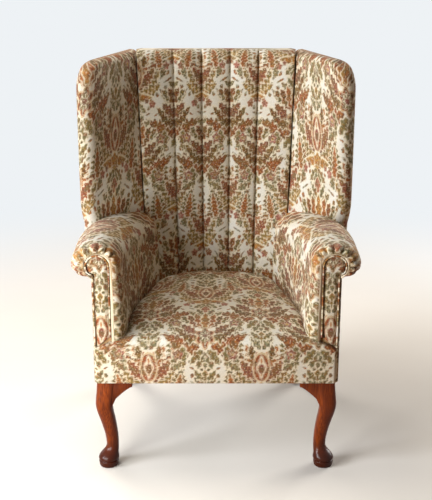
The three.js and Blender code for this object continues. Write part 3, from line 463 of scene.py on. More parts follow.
def feed(tree, socket, value):
    """Give a socket a number, a colour or a link from another node."""
    if isinstance(value, (int, float)):
        socket.default_value = value
    elif isinstance(value, (tuple, list, np.ndarray)):
        socket.default_value = (*value, 1)
    else:
        tree.links.new(value, socket)


def feed_all(tree, target, **values):
    """Feed several sockets of a node, each by its name with underscores for spaces."""
    for name, value in values.items():
        feed(tree, target.inputs[name.replace("_", " ")], value)


def math_node(tree, operation, first, second=0.5):
    """One operation on one or two values."""
    made = node(tree, "ShaderNodeMath", operation=operation)
    feed(tree, made.inputs[0], first)
    feed(tree, made.inputs[1], second)
    return made.outputs[0]


def noise_node(tree, place, scale, detail=2):
    """Soft noise at a place, from 0 to 1."""
    made = node(tree, "ShaderNodeTexNoise")
    feed_all(tree, made, Scale=scale, Detail=detail, Vector=place)
    return made.outputs["Fac"]


def map_node(tree, value, curve="LINEAR", **limits):
    """A value brought from one range to another, each limit named From or To, Min or Max."""
    made = node(tree, "ShaderNodeMapRange", interpolation_type=curve)
    feed_all(tree, made, Value=value, **limits)
    return made.outputs["Result"]


def bump_node(tree, shader, height, strength, depth):
    """Raise the shader's surface by a height."""
    made = node(tree, "ShaderNodeBump")
    feed_all(tree, made, Strength=strength, Distance=depth, Height=height)
    feed(tree, shader.inputs["Normal"], made.outputs["Normal"])


def new_group(name, inputs, outputs):
    """A node group with named sockets, and its inlet and outlet."""
    group = bpy.data.node_groups.new(name, "ShaderNodeTree")
    for socket, kind in inputs.items():
        group.interface.new_socket(socket, in_out="INPUT", socket_type=kind)
    for socket, kind in outputs.items():
        group.interface.new_socket(socket, in_out="OUTPUT", socket_type=kind)
    return group, node(group, "NodeGroupInput").outputs, node(group, "NodeGroupOutput").inputs


VECTOR = "NodeSocketVector"
FLOAT = "NodeSocketFloat"
THREAD_NOISE = 240


def weave_group():
    """Over and under threads: the product of two sine waves, with thread to thread variation."""
    sockets = {"Place": VECTOR, "Threads": FLOAT}
    group, inlet, outlet = new_group("weave", sockets, {"Height": FLOAT, "Variation": FLOAT})
    parts = node(group, "ShaderNodeSeparateXYZ")
    feed(group, parts.inputs[0], inlet["Place"])
    turn = math_node(group, "MULTIPLY", inlet["Threads"], 2 * math.pi)
    warp = math_node(group, "SINE", math_node(group, "MULTIPLY", parts.outputs["X"], turn))
    weft = math_node(group, "SINE", math_node(group, "MULTIPLY", parts.outputs["Y"], turn))
    feed(group, outlet["Height"], math_node(group, "MULTIPLY", warp, weft))
    feed(group, outlet["Variation"], noise_node(group, inlet["Place"], THREAD_NOISE, detail=3))
    return group


# Fibres of the wood: name, scale across and along the grain, and detail
FIBRES = (("Band", (28, 28, 3), 4), ("Pore", (260, 260, 14), 2))
FIBRE_NOISE = 1.6


def grain_group():
    """Long wood fibres: stretched noise, with finer pores."""
    group, inlet, outlet = new_group("grain", {"Place": VECTOR}, {"Band": FLOAT, "Pore": FLOAT})
    for name, scale, detail in FIBRES:
        mapping = node(group, "ShaderNodeMapping")
        mapping.inputs["Scale"].default_value = scale
        feed(group, mapping.inputs["Vector"], inlet["Place"])
        feed(group, outlet[name], noise_node(group, mapping.outputs["Vector"], FIBRE_NOISE, detail))
    return group


WEAVE = weave_group()
GRAIN = grain_group()


def mix_colour(tree, factor, first, second, blend="MIX"):
    """Two colours mixed by a factor."""
    made = node(tree, "ShaderNodeMix", data_type="RGBA", blend_type=blend)
    feed(tree, made.inputs["Factor"], factor)
    feed(tree, made.inputs[6], first)
    feed(tree, made.inputs[7], second)
    return made.outputs[2]


def strokes(tree, place, scale, low, high, strength):
    """Patches of noise between two levels, kept to the motifs, as a mask of the given strength."""
    noise = noise_node(tree, place, scale)
    patches = map_node(tree, noise, "SMOOTHSTEP", From_Min=low, From_Max=high, To_Max=strength)
    motif = node(tree, "ShaderNodeAttribute", attribute_name="motif").outputs["Fac"]
    return math_node(tree, "MULTIPLY", patches, motif)


# Noise scale, lower and upper level, strength and colour of each layer of stitches on the motifs
TAPESTRY = [
    (38, 0.46, 0.62, 0.55, srgb(138, 110, 60)),
    (47, 0.50, 0.66, 0.50, srgb(144, 78, 50)),
    (55, 0.50, 0.64, 0.50, srgb(98, 92, 62)),
    (150, 0.50, 0.64, 0.50, srgb(84, 54, 36)),
    (190, 0.54, 0.68, 0.50, srgb(222, 208, 180)),
]


def tapestry(tree, place):
    """The print with its motifs broken up: tones drift into each other, with pale and dark stitches."""
    colour = node(tree, "ShaderNodeAttribute", attribute_name="print").outputs["Color"]
    for *patch, tint in TAPESTRY:
        colour = mix_colour(tree, strokes(tree, place, *patch), colour, tint)
    return colour


def cloth_material(name, plain=None, threads=900.0, depth=0.0004):
    """Woven cloth: the print or a plain colour, thread variation, raised threads and a soft nap."""
    material, tree, shader = new_material(name)
    weave = node(tree, "ShaderNodeGroup", node_tree=WEAVE)
    feed(tree, weave.inputs["Threads"], threads)
    if plain is None:
        place = node(tree, "ShaderNodeUVMap", uv_map="cloth").outputs["UV"]
        base = tapestry(tree, place)
    else:
        place = node(tree, "ShaderNodeTexCoord").outputs["Object"]
        base = plain
    feed(tree, weave.inputs["Place"], place)
    height, variation = weave.outputs["Height"], weave.outputs["Variation"]
    shade = map_node(tree, variation, To_Min=0.72, To_Max=1.16)
    grey = node(tree, "ShaderNodeCombineColor")
    for channel in grey.inputs[:3]:
        feed(tree, channel, shade)
    colour = mix_colour(tree, 1.0, base, grey.outputs[0], "MULTIPLY")
    rough = map_node(tree, variation, To_Min=0.78, To_Max=0.98)
    bump_node(tree, shader, math_node(tree, "ADD", height, variation), 0.35, depth)
    feed_all(tree, shader, Base_Color=colour, Roughness=rough, Specular_IOR_Level=0.25)
    feed_all(tree, shader, Sheen_Weight=0.12, Sheen_Roughness=0.5)
    return material


# Heights between which a leg clears from its darkest tone, and how much of the tone is left at the floor
FOOT_DARK = 0.035
FOOT_CLEAR = 0.085
FOOT_TONE = 0.04


def wood_material(name, light, dark, roughness, coat):
    """Timber: two tones along the fibres, fine pores, darker towards the floor, and a polish where
    it has one."""
    material, tree, shader = new_material(name)
    grain = node(tree, "ShaderNodeGroup", node_tree=GRAIN)
    place = node(tree, "ShaderNodeTexCoord").outputs["Object"]
    feed(tree, grain.inputs["Place"], place)
    parts = node(tree, "ShaderNodeSeparateXYZ")
    feed(tree, parts.inputs[0], place)
    clear = map_node(tree, parts.outputs["Z"], From_Min=FOOT_DARK, From_Max=FOOT_CLEAR, To_Min=FOOT_TONE)
    band = map_node(tree, grain.outputs["Band"], To_Min=-0.6, To_Max=1.6)
    pore = map_node(tree, grain.outputs["Pore"], To_Min=-0.5, To_Max=0.9)
    tone = mix_colour(tree, pore, dark, mix_colour(tree, band, dark, light))
    colour = mix_colour(tree, clear, dark * 0.4, tone)
    rough = map_node(tree, grain.outputs["Pore"], To_Min=roughness + 0.12, To_Max=roughness - 0.08)
    bump_node(tree, shader, grain.outputs["Pore"], 0.12, 0.0004)
    feed_all(tree, shader, Base_Color=colour, Roughness=rough, Specular_IOR_Level=0.08)
    feed_all(tree, shader, Coat_Weight=coat, Coat_Roughness=0.18)
    return material


def steel_material():
    """Drawn spring wire with a little tarnish."""
    material, tree, shader = new_material("spring_wire")
    noise = noise_node(tree, node(tree, "ShaderNodeTexCoord").outputs["Object"], scale=160)
    colour = mix_colour(tree, noise, srgb(96, 92, 86), srgb(160, 158, 154))
    rough = map_node(tree, noise, To_Min=0.3, To_Max=0.6)
    feed_all(tree, shader, Base_Color=colour, Metallic=1.0, Roughness=rough)
    return material


DAMASK = cloth_material("damask_cloth")
PIPED = cloth_material("piping_cloth")
BLACK_CLOTH = cloth_material("bottom_cloth", plain=srgb(40, 38, 36))
JUTE = cloth_material("jute", plain=srgb(168, 142, 100), threads=420.0, depth=0.0008)
MAHOGANY = wood_material("mahogany", srgb(196, 92, 20), srgb(92, 35, 8), 0.34, 0.22)
BEECH = wood_material("beech", srgb(214, 184, 142), srgb(186, 148, 104), 0.6, 0.0)
STEEL = steel_material()


# Covers

def upholster(name, points, cloth, nodes, fill, **form):
    """A padded damask piece in place of its solids; fill runs from 0, slack, to 1, tight, and is not used."""
    piece = make_piece(name, points, DAMASK, cloth=cloth, **form)
    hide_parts(*nodes)
    return piece


# The print's column axis on the seat, and how far up the cloth the flower group sits
SEAT_AXIS = 0.121
SEAT_PHASE = 0.051
# Seat cover: hem turned under, radius of the front edge, tuck under the back
HEM = 0.012
NOSE = 0.022
SEAT_TUCK = 0.006
# Half widths of the apron and of its top edge, how much the seat widens at the front, and over what depth
APRON_HALF = FRONT_HALF + 0.003
EDGE_HALF = 0.276
CORNER_SPREAD = 0.029
CORNER_RUN = 0.055
# How far the crown falls to its sides, and more so at the rear, then the creases at the arms and the back
CROWN_FALL = 0.016
SIDE_FALL = 0.020
SIDE_HOLLOW = 0.014
REAR_HOLLOW = 0.012
# How far the apron bulges, and how far its ends turn back
APRON_BELLY = 0.004
APRON_TURN = 0.010
SEAT_RIPPLE = 0.0007


def seat_cover():
    """A path from the hem up the apron, round the front edge and back over the crowned seat,
    carried across the width; the width narrows between the arms and the sides tuck down."""
    hem_y = spread(HEM, 0.0, FINE)
    apron_z = spread(LEG_HEIGHT, SEAT_EDGE - NOSE, FINE)
    turn = spread(math.pi, math.pi / 2, FINE / NOSE)
    top_y = spread(NOSE, SEAT_DEPTH + SEAT_TUCK, FINE)
    nose_y = NOSE + NOSE * np.cos(turn[1:])
    nose_z = SEAT_EDGE - NOSE + NOSE * np.sin(turn[1:])
    hem_z = np.full(len(hem_y), LEG_HEIGHT)
    top_z = np.full(len(top_y) - 1, SEAT_EDGE)
    y = np.concatenate([hem_y, np.zeros(len(apron_z) - 1), nose_y, top_y[1:]])
    z = np.concatenate([hem_z, apron_z[1:], nose_z, top_z])
    length = travelled(stack(y, z), 0) - HEM
    on_top = np.arange(len(y)) >= len(hem_y) + len(apron_z) + len(turn) - 2
    y, z, length, on_top = (v[:, None] for v in (y, z, length, on_top))
    edge_half = [APRON_HALF, EDGE_HALF + 0.005, EDGE_HALF]
    front_half = np.interp(z, [SEAT_EDGE - 0.030, SEAT_EDGE - 0.006, SEAT_EDGE], edge_half)
    top_half = arm_inner(y) + 0.004 + CORNER_SPREAD * np.clip(1 - y / CORNER_RUN, 0, 1) ** 1.4
    half = np.where(on_top, top_half, front_half)
    x = half * np.linspace(-1, 1, int(2 * APRON_HALF / FINE))[None, :]
    sides = np.clip(np.abs(x) / 0.18, 0, 1.15) ** 2.4
    drop = CROWN_FALL * np.abs(x / 0.275) ** 3 + (SIDE_FALL * sides - 0.004) * smooth(share(y, 0.10, 0.44))
    crown = mix(-0.4 * drop, SEAT_TOP - SEAT_EDGE - drop, smooth(share(y, -0.04, 0.19)))
    rise = smooth(share(z, SEAT_EDGE - NOSE, SEAT_EDGE))
    crease = -SIDE_HOLLOW * np.exp(-(half - np.abs(x)) / 0.010) * smooth(share(y, 0.02, 0.07)) * on_top
    to_back = SEAT_DEPTH - barrel(SEAT_TOP) * (x / CREASE_SEAT) ** 2 - y
    rear = -REAR_HOLLOW * np.exp(-to_back / 0.014) * on_top
    height = z + crown * rise + crease + np.clip(rear, -0.03, 0)
    height = height + ripple(x, y + z, SEAT_RIPPLE) * smooth(share(length, 0.0, 0.03))
    corner = APRON_TURN * smooth(share(np.abs(x), half - 0.014, half)) ** 2 * ~on_top
    belly = np.sin(np.pi * np.clip(share(z, LEG_HEIGHT, SEAT_EDGE), 0, 1)) * (1 - (x / APRON_HALF) ** 4)
    depth = y + corner - APRON_BELLY * belly * ~on_top * (y < 0.002)
    cloth = stack(x - SEAT_AXIS, length - SEAT_PHASE)
    upholster("seat_cover", stack(x, depth, height), cloth, ["seat_pad"], 0.9, back=True)


# Cloth taken up in each seam of the back, and where the print's flower group and column axis lie on it
SEAM_TUCK = 0.060
BACK_PHASE = 0.869
BACK_AXIS = 2 * COLUMN - 0.0736
# Back cover: radius of the top, depth and width of a seam's pinch, turn behind the wings
BACK_ROUND = 0.024
PINCH = 0.007
PINCH_WIDTH = 0.0028
SIDE_TURN = 0.030
BACK_RIPPLE = 0.0006


def back_cover():
    """Five crowned channels across a barrel curve, carried up the raked back and rolled over the
    top; each seam pinches in, the sides turn back behind the wings, and a plain rear closes it."""
    u = np.linspace(-1, 1, int(2 * CREASE_TOP / FINE))[None, :]
    z = spread(PAD_BOTTOM, HEIGHT - BACK_ROUND, FINE)
    turn = spread(0, math.pi / 2 - 0.02, FINE / BACK_ROUND)[1:]
    rows_z = np.concatenate([z, HEIGHT - BACK_ROUND + BACK_ROUND * np.sin(turn)])[:, None]
    inset = np.concatenate([np.zeros(len(z)), BACK_ROUND * (1 - np.cos(turn))])[:, None]
    channel = np.clip(np.searchsorted(SEAMS, u[0], side="right") - 1, 0, len(SEAMS) - 2)
    t = (u[0] - SEAMS[channel]) / (SEAMS[channel + 1] - SEAMS[channel])
    crown = CHANNEL_CROWN * np.sin(np.pi * np.clip(t, 0, 1)) ** 0.55
    inner_seam = np.min(np.abs(u - SEAMS[1:-1, None]), axis=0)
    pinch = PINCH * np.exp(-(inner_seam * CREASE_TOP / PINCH_WIDTH) ** 2)
    x = u * crease_x(rows_z)
    fade = 1 - 0.45 * smooth(inset / BACK_ROUND)
    y = back_y(rows_z) - barrel(rows_z) * u ** 2 - (crown - pinch)[None, :] * fade + inset
    y = y + ripple(x, rows_z, BACK_RIPPLE) + SIDE_TURN * smooth(share(np.abs(u), 0.975, 1.0)) ** 2
    rear_u = np.linspace(1, -1, 40)[None, 1:-1]
    rear_x = rear_u * crease_x(rows_z)
    rear = rear_y(rows_z) - 0.002 - inset + 0 * rear_x
    tucks = SEAM_TUCK * (np.sum(u[0][:, None] > SEAMS[1:-1], axis=1) - 2)
    s = np.concatenate([1.05 * x + tucks[None, :] + BACK_AXIS, rear_x], axis=1)
    up = (rows_z - BACK_PHASE) / math.cos(math.atan(RAKE)) + inset * 1.3 + GROUP_B
    points = stack(np.concatenate([x, rear_x], axis=1), np.concatenate([y, rear], axis=1), rows_z)
    upholster("back_cover", points, stack(s, up), ["inside_back"], 0.8, closed=True, caps=True)


def wing_section(z):
    """Crease, front point, outward direction and post face of the wing at each height."""
    low = np.clip(1 - (z - arm_top(WING_FRONT_Y)) / WING_FOOT_REACH, 0, 1.4)
    high = np.clip((z - WING_TOP + WING_CORNER) / WING_CORNER, 0, 1)
    front_y = WING_FRONT_Y + WING_FOOT_SWEEP * low ** 1.6 + WING_CORNER * (1 - np.sqrt(1 - high ** 2))
    crease = np.stack([crease_x(z), back_y(z) - barrel(z)], axis=-1)
    flare = WING_FLARE * np.clip(share(z, WING_TOP, arm_top(WING_FRONT_Y)), 0, 1)
    along = np.stack([WING_FRONT_X + flare, np.full_like(z, WING_FRONT_Y)], axis=-1) - crease
    reach = share(front_y, crease[..., 1], WING_FRONT_Y)[..., None]
    front = crease + along * reach
    normal = np.stack([-along[..., 1], along[..., 0]], axis=-1)
    normal = normal / np.linalg.norm(normal, axis=-1, keepdims=True)
    return crease, front, normal, rear_y(z) - POST_DEPTH


# Wing cover: its tuck below the arm's top, rough width of its inner face, hollow and unevenness
WING_TUCK = 0.050
WING_FACE = 0.25
WING_HOLLOW = 0.001
WING_RIPPLE = 0.0009
# Where the print's column axis and flower group lie on it, and how the print is scaled up the wing
WING_AXIS = 0.12
WING_PHASE = 0.86
WING_UP = 0.8


def wing_cover(side, sign):
    """Rings at rising heights: the hollowed inner face, a round nose, then the outer face and the
    rear; towards the top each ring draws in, so the edge rolls over."""
    base = spread(arm_top(WING_FRONT_Y) - WING_TUCK, WING_TOP - WING_CORNER, FINE)
    turn = spread(0.03, math.pi / 2 - 0.03, FINE / WING_CORNER)
    z = np.concatenate([base, WING_TOP - WING_CORNER + WING_CORNER * np.sin(turn)])
    climb = np.clip((z - WING_TOP + WING_ROUND) / WING_ROUND, 0, 1)
    inset = WING_ROUND * (1 - np.sqrt(1 - climb ** 2))[:, None, None]
    crease, front, normal, post = (v[:, None] for v in wing_section(z))
    near_top = smooth(share(z, HEIGHT - 0.034, HEIGHT - 0.020))[:, None]
    post = mix(post, rear_y(z)[:, None] - inset[:, :, 0], near_top)
    ahead = np.stack([normal[..., 1], -normal[..., 0]], axis=-1)
    t = spread(0, 1, FINE / WING_FACE)[None, :, None]
    inner = crease + (front - crease) * t + normal * (WING_HOLLOW * np.sin(np.pi * t) + inset)
    half = WING_THICK / 2
    a = spread(-math.pi / 2, math.pi / 2, FINE / half)[None, 1:, None]
    nose = front + normal * half + (half - inset) * (normal * np.sin(a) + ahead * np.cos(a))
    outward = np.array([1.0, 0.0])
    rear_outer = np.stack([np.full_like(post, BACK_HALF), post], axis=-1) - inset * outward
    outer_front = front + normal * (WING_THICK - inset)
    w = spread(0, 1, 0.04)[None, 1:, None]
    outer = outer_front + (rear_outer - outer_front) * w
    rear_inner = np.stack([crease[..., 0], post], axis=-1) + inset * outward
    v = np.array([0.5, 1.0])[None, :, None]
    rear = rear_outer + (rear_inner - rear_outer) * v
    ring = np.concatenate([inner, nose, outer, rear], axis=1)
    push = ripple(ring[..., 1], np.broadcast_to(z[:, None], ring.shape[:2]), WING_RIPPLE)
    ring = ring + normal * push[..., None] * (np.arange(ring.shape[1]) < inner.shape[1])[None, :, None]
    points = stack(sign * ring[..., 0], ring[..., 1], z[:, None])
    cloth = stack(sign * (travelled(ring, 1) - WING_AXIS), (z[:, None] - WING_PHASE) * WING_UP)
    upholster(f"{side}_wing_cover", points, cloth, [f"{side}_wing_pad"], 0.85, closed=True, caps=True)


# Feet of the keyhole's two edges, and how far its head stands past the stem and its neck above the roll's end
FOOT_INNER = SEAT_EDGE + 0.004
FOOT_OUTER = SEAT_EDGE - 0.026
HEAD_SHIFT = 0.001
NECK_EASE = 0.006
# Clearance of the piping inside the keyhole and outside the facing
PIPING_GAP = 0.0004


def keyhole(shrink):
    """Outline of the arm front, from the stem's inner foot over the head's arc to its outer foot,
    drawn in all round by shrink."""
    outer = side_x(FACING_Y)
    top = arm_top(FACING_Y)
    head_x = outer - STEM_WIDTH + HEAD_RADIUS - HEAD_SHIFT
    head_z = top - HEAD_DROP - HEAD_RADIUS
    a = np.linspace(math.pi, -0.6, 48)
    radius = HEAD_RADIUS - shrink
    neck_z = top - NECK_DROP + NECK_EASE + 0.6 * shrink
    inside, outside = outer - STEM_WIDTH + shrink, outer - shrink
    x = np.concatenate([[inside], head_x + radius * np.cos(a), [outside, outside]])
    z = np.concatenate([[FOOT_INNER], head_z + radius * np.sin(a), [neck_z, FOOT_OUTER]])
    return x, z


PLEATS = 15
PLEAT_DEPTH = 0.0065
# Length over which the arm's front draws in, and where the even sections start behind it
ARM_TURN = 0.044
ROLL_SECTIONS = 0.0545
# Clearance of the arm's hollow round the keyhole, and unevenness of the inner face
HOLLOW_GAP = 0.0004
ARM_RIPPLE = 0.0008
# Where the roll starts to widen and lean, and its half widths inward and outward on the cloth
ROLL_START = 0.110
ROLL_IN = 0.064
ROLL_OUT = 0.070
# Rough height of the inner face and radius of the roll, which set the spacing of the points
ARM_FACE = 0.21
ROLL_RADIUS = 0.060
# Where the print starts on the arm, along and up, and its scale each way
ARM_AXIS = 0.02
ARM_PHASE = 0.03
ARM_ALONG = 0.6
ARM_UP = 0.9


def arm_cover(side, sign):
    """Sections along the depth: up the inner face, round the roll and back inside along the
    keyhole. At the front the section draws in to the facing and gathers in pleats."""
    drawn = FACING_Y + ARM_TURN * spread(0, 1, 0.045) ** 1.6
    y = np.concatenate([drawn, spread(ROLL_SECTIONS, ARM_END, FINE * 1.1)])[:, None]
    tau = np.clip((y - FACING_Y) / ARM_TURN, 0, 1)
    swell = 0.12 + 0.88 * np.sqrt(1 - (1 - tau) ** 2) ** 0.75
    outer = side_x(y)
    behind = smooth(share(y, WING_FRONT_Y + 0.02, rear_y(ARM_TOP) - POST_DEPTH))
    full = mix(ROLL_OVERHANG, ROLL_WING_OVERHANG, smooth(share(y, ROLL_START, WING_FRONT_Y)))
    overhang = mix(full, 2 * HEAD_RADIUS - STEM_WIDTH + 0.006, behind)
    inner = arm_inner(y)
    top = arm_top(y)
    stem = outer - STEM_WIDTH
    neck = top - NECK_DROP
    head_z = top - HEAD_DROP - HEAD_RADIUS
    roll_x = stem + HEAD_RADIUS - mix(HEAD_SHIFT, 0.004, swell)
    t = spread(0, 1, FINE / ARM_FACE)[None, :]
    face_z = mix(PAD_BOTTOM, head_z - 0.014, t)
    face_x = mix(stem - 0.004, inner - 0.005 * np.sin(np.pi * t) + 0.005 * t, swell)
    tight = HEAD_RADIUS + 0.004
    a = spread(math.pi, -0.85, FINE / ROLL_RADIUS)[None, :]
    c, s = np.cos(a), np.sin(a)
    fold = np.abs(np.sin(a * PLEATS / 2 + 0.5 + 0.35 * np.sin(2.3 * a))) ** 0.5
    reach = np.exp(-((y - 0.018) / 0.026) ** 2) * smooth(share(a, 3.0, 2.3))
    gather = PLEAT_DEPTH * (fold - 0.75) * reach
    inward, outward = roll_x - inner - 0.005, outer + overhang - roll_x
    upward, downward = top - head_z, NECK_DROP - HEAD_DROP - HEAD_RADIUS + 0.002
    wide = mix(tight, np.where(c < 0, inward, outward), swell) + gather
    tall = mix(tight, np.where(s > 0, upward, downward), swell) + gather
    hollow_a = np.linspace(-0.6, math.pi, 12)[None, :]
    hollow_r = HEAD_RADIUS + HOLLOW_GAP
    hollow_x = [outer + 0.004, outer + HOLLOW_GAP, outer + HOLLOW_GAP,
                stem + HEAD_RADIUS - HEAD_SHIFT + hollow_r * np.cos(hollow_a), stem - HOLLOW_GAP]
    hollow_z = [neck, neck, neck + NECK_EASE,
                head_z + hollow_r * np.sin(hollow_a), np.full_like(y, PAD_BOTTOM)]
    push = ripple(np.broadcast_to(y, face_z.shape), face_z, ARM_RIPPLE) * tau
    x = np.concatenate([face_x + push, roll_x + wide * c, *hollow_x], axis=1)
    z = np.concatenate([np.broadcast_to(face_z, face_x.shape), head_z + tall * s, *hollow_z], axis=1)
    lean = RAKE * np.clip(share(y, ROLL_START, ARM_END), 0, 1)
    depth = y + lean * (z - NECK_END)
    front = smooth(share(y, 0.0078, 0.0090)) * (1 - smooth(share(y, 0.016, 0.040)))
    depth[:, t.size:t.size + a.size] -= 2.0 * gather * front
    roll_full = roll_x + np.where(c < 0, ROLL_IN, ROLL_OUT) * c
    full_x = np.concatenate([np.broadcast_to(inner, face_x.shape), roll_full], axis=1)
    climb = travelled(stack(full_x, z[:, :full_x.shape[1]]), 1)
    climb = np.concatenate([climb, np.repeat(climb[:, -1:], x.shape[1] - full_x.shape[1], axis=1)], axis=1)
    points = stack(sign * x, depth, z)
    travel = travelled(points, 0)
    level = int(np.argmax(tau >= 1))
    along = travel - travel[level] + y[level]
    cloth = stack(sign * (along - ARM_AXIS) * ARM_ALONG, climb * ARM_UP + ARM_PHASE)
    upholster(f"{side}_arm_cover", points, cloth, [f"{side}_arm_pad"], 0.85, closed=True, caps=True)


# Facing: its dome, how far its edge lies back, and how wide it rounds over
FACING_DOME = 0.0035
FACING_BACK = 0.0038
FACING_RIM = 0.010
# Rough height of the facing, and where the print's column axis and flower group lie on it
FACING_TALL = 0.25
FACING_AXIS = 0.02
FACING_PHASE = 0.42


def facing_cover(side, sign):
    """Rows at rising heights between the keyhole's two edges, lightly domed, tucked at the rim."""
    x, z = keyhole(PIPING + 2 * PIPING_GAP)
    peak = int(np.argmax(z))
    t = spread(0, 1, FINE / FACING_TALL)
    left_z = t * (z[peak] - z[0]) + z[0]
    left_x = np.interp(left_z, z[:peak + 1], x[:peak + 1])
    right_z = t * (z[peak] - z[-1]) + z[-1]
    right_x = np.interp(right_z, z[peak:][::-1], x[peak:][::-1])
    u = np.linspace(0, 1, 26)[None, :]
    row_x = mix(left_x[:, None], right_x[:, None], u)
    row_z = mix(left_z[:, None], right_z[:, None], u)
    edge = np.minimum(u, 1 - u) * (right_x - left_x)[:, None]
    dome = FACING_DOME * smooth(edge / FACING_RIM) * smooth((1 - t[:, None]) / 0.05)
    points = stack(sign * row_x, FACING_Y + FACING_BACK - dome, row_z)
    cloth = stack(sign * (row_x - side_x(0.0) + FACING_AXIS), row_z - FACING_PHASE)
    upholster(f"{side}_facing_cover", points, cloth, [f"{side}_arm_facing"], 0.6, back=True)


def tube(line, radius, sides):
    """A round profile carried along a line of points in the XZ plane, square to the line."""
    ahead = np.gradient(line, axis=0)
    ahead = ahead / np.linalg.norm(ahead, axis=1, keepdims=True)
    across = np.stack([-ahead[:, 2], np.zeros(len(line)), ahead[:, 0]], axis=1)
    a = np.linspace(0, 2 * np.pi, sides, endpoint=False)[None, :, None]
    return line[:, None] + radius * (np.cos(a) * across[:, None] + np.sin(a) * np.array([0.0, 1.0, 0.0]))


# Piping: how far it stands back, spacing of its rings, slant of its cloth
PIPING_BACK = 0.0012
PIPING_STEP = 0.003
BIAS = 0.7


def arm_piping(side, sign):
    """Covered cord round the facing's edge, its cloth cut on the bias."""
    x, z = keyhole(PIPING / 2 + PIPING_GAP)
    travel = travelled(stack(x, z), 0)
    even = spread(0, travel[-1], PIPING_STEP)
    line = stack(sign * np.interp(even, travel, x), FACING_Y + PIPING_BACK, np.interp(even, travel, z))
    cord = tube(line, PIPING / 2, 10)
    bias = np.broadcast_to(even[:, None] * BIAS, cord.shape[:2])
    piece = make_piece(f"{side}_piping_cord", cord, PIPED, closed=True, caps=True, cloth=stack(bias, bias))
    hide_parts(f"{side}_arm_piping")


PANEL_THICK = 0.0026


def panel(name, points, forward, replaced, cloth):
    """A thin taut cover: the points give its face, and Solidify its thickness, along the face's own
    direction where forward is true."""
    piece = upholster(name, points, cloth, [replaced], 1.0)
    thick = piece.modifiers.new("thickness", "SOLIDIFY")
    thick.thickness = PANEL_THICK
    thick.offset = 1.0 if forward else -1.0


# Outside arm panel: rough length and height, start behind the apron, distance from the frame, fullness
SIDE_RUN = 0.52
SIDE_RISE = 0.29
SIDE_START = 0.0144
SIDE_GAP = 0.0008
SIDE_BELLY = 0.002
# How high the print starts on the outside panels
OUTSIDE_PHASE = 0.33


def frame_side(y):
    """The side frame's face under the outside arm panel, never narrower than the back."""
    return np.maximum(side_x(y), BACK_HALF) + SIDE_GAP


def outside_arm_cover(side, sign):
    """Straight rises from the rail's foot to the roll's underside, along the bowed side."""
    t = spread(0, 1, COARSE / SIDE_RUN)[None, :]
    w = spread(0, 1, COARSE / SIDE_RISE)[:, None]
    foot_y = mix(SIDE_START, POST_FOOT_Y - 0.002, t)
    top_y = foot_y + t * RAKE * (NECK_END - POST_FOOT_Z)
    top = arm_top(top_y) - NECK_DROP - 0.0012
    x = mix(frame_side(foot_y), frame_side(top_y), w) + SIDE_BELLY * np.sin(np.pi * w) * np.sin(np.pi * t)
    y = mix(foot_y, top_y, w)
    z = mix(LEG_HEIGHT, top, w)
    cloth = stack(sign * y, z - OUTSIDE_PHASE)
    panel(f"{side}_outside_arm_cover", stack(sign * x, y, z), sign > 0, f"{side}_outside_arm", cloth)


# Outside wing panel: rough length, start behind the wing's nose as a share, distance from the wing
WING_RUN = 0.30
WING_START = 0.05
WING_GAP = 0.0012


def outside_wing_cover(side, sign):
    """Straight runs from behind the wing's nose to the back post, stacked up the wing."""
    seam = arm_top(WING_FRONT_Y) + 0.004
    z = spread(NECK_END - 0.002, WING_TOP - WING_ROUND * 0.6, COARSE)
    _, front, normal, post = wing_section(z)
    rear = np.stack([np.full_like(z, BACK_HALF), rear_y(z)], axis=-1)
    nose = front + normal * WING_THICK
    low = np.where(z < seam, share(post - 0.003, nose[:, 1], rear[:, 1]), WING_START)
    first = mix(low, WING_START, smooth(share(z, seam - 0.034, seam)))[:, None]
    start = nose + (rear - nose) * first
    out = np.stack([rear[:, 1] - nose[:, 1], nose[:, 0] - rear[:, 0]], axis=-1)
    out = out / np.linalg.norm(out, axis=1, keepdims=True)
    w = spread(0, 1, COARSE / WING_RUN)[None, :, None]
    face = start[:, None] + (rear - start)[:, None] * w + out[:, None] * WING_GAP
    cloth = stack(sign * face[..., 1], (z - OUTSIDE_PHASE)[:, None])
    points = stack(sign * face[..., 0], face[..., 1], z[:, None])
    panel(f"{side}_outside_wing_cover", points, sign < 0, f"{side}_outside_wing", cloth)


# How far the outside back stands off the frame, its fullness, and how high its print starts
REAR_GAP = 0.0006
REAR_BELLY = 0.003
REAR_PHASE = 0.63


def outside_back_cover():
    """A flat raked panel from the seat rail to the top, a little fuller in the middle."""
    z = spread(POST_FOOT_Z + 0.0005, HEIGHT - 0.022, COARSE * 1.2)[:, None]
    x = spread(-BACK_HALF, BACK_HALF, COARSE * 1.2)[None, :]
    belly = REAR_BELLY * (1 - (x / BACK_HALF) ** 4) * np.sin(np.pi * share(z, LEG_HEIGHT, HEIGHT))
    y = rear_y(z) + REAR_GAP + belly
    panel("outside_back_cover", stack(x, y, z), True, "outside_back", stack(x, z - REAR_PHASE))


# Legs

def curve_through(at, places, values):
    """A smooth curve through a few values: cubic pieces with averaged slopes."""
    slopes = np.gradient(values, places)
    i = np.clip(np.searchsorted(places, at) - 1, 0, len(places) - 2)
    step = places[i + 1] - places[i]
    t = (at - places[i]) / step
    return ((2 * t ** 3 - 3 * t ** 2 + 1) * values[i] + (t ** 3 - 2 * t ** 2 + t) * step * slopes[i]
            + (3 * t ** 2 - 2 * t ** 3) * values[i + 1] + (t ** 3 - t ** 2) * step * slopes[i + 1])


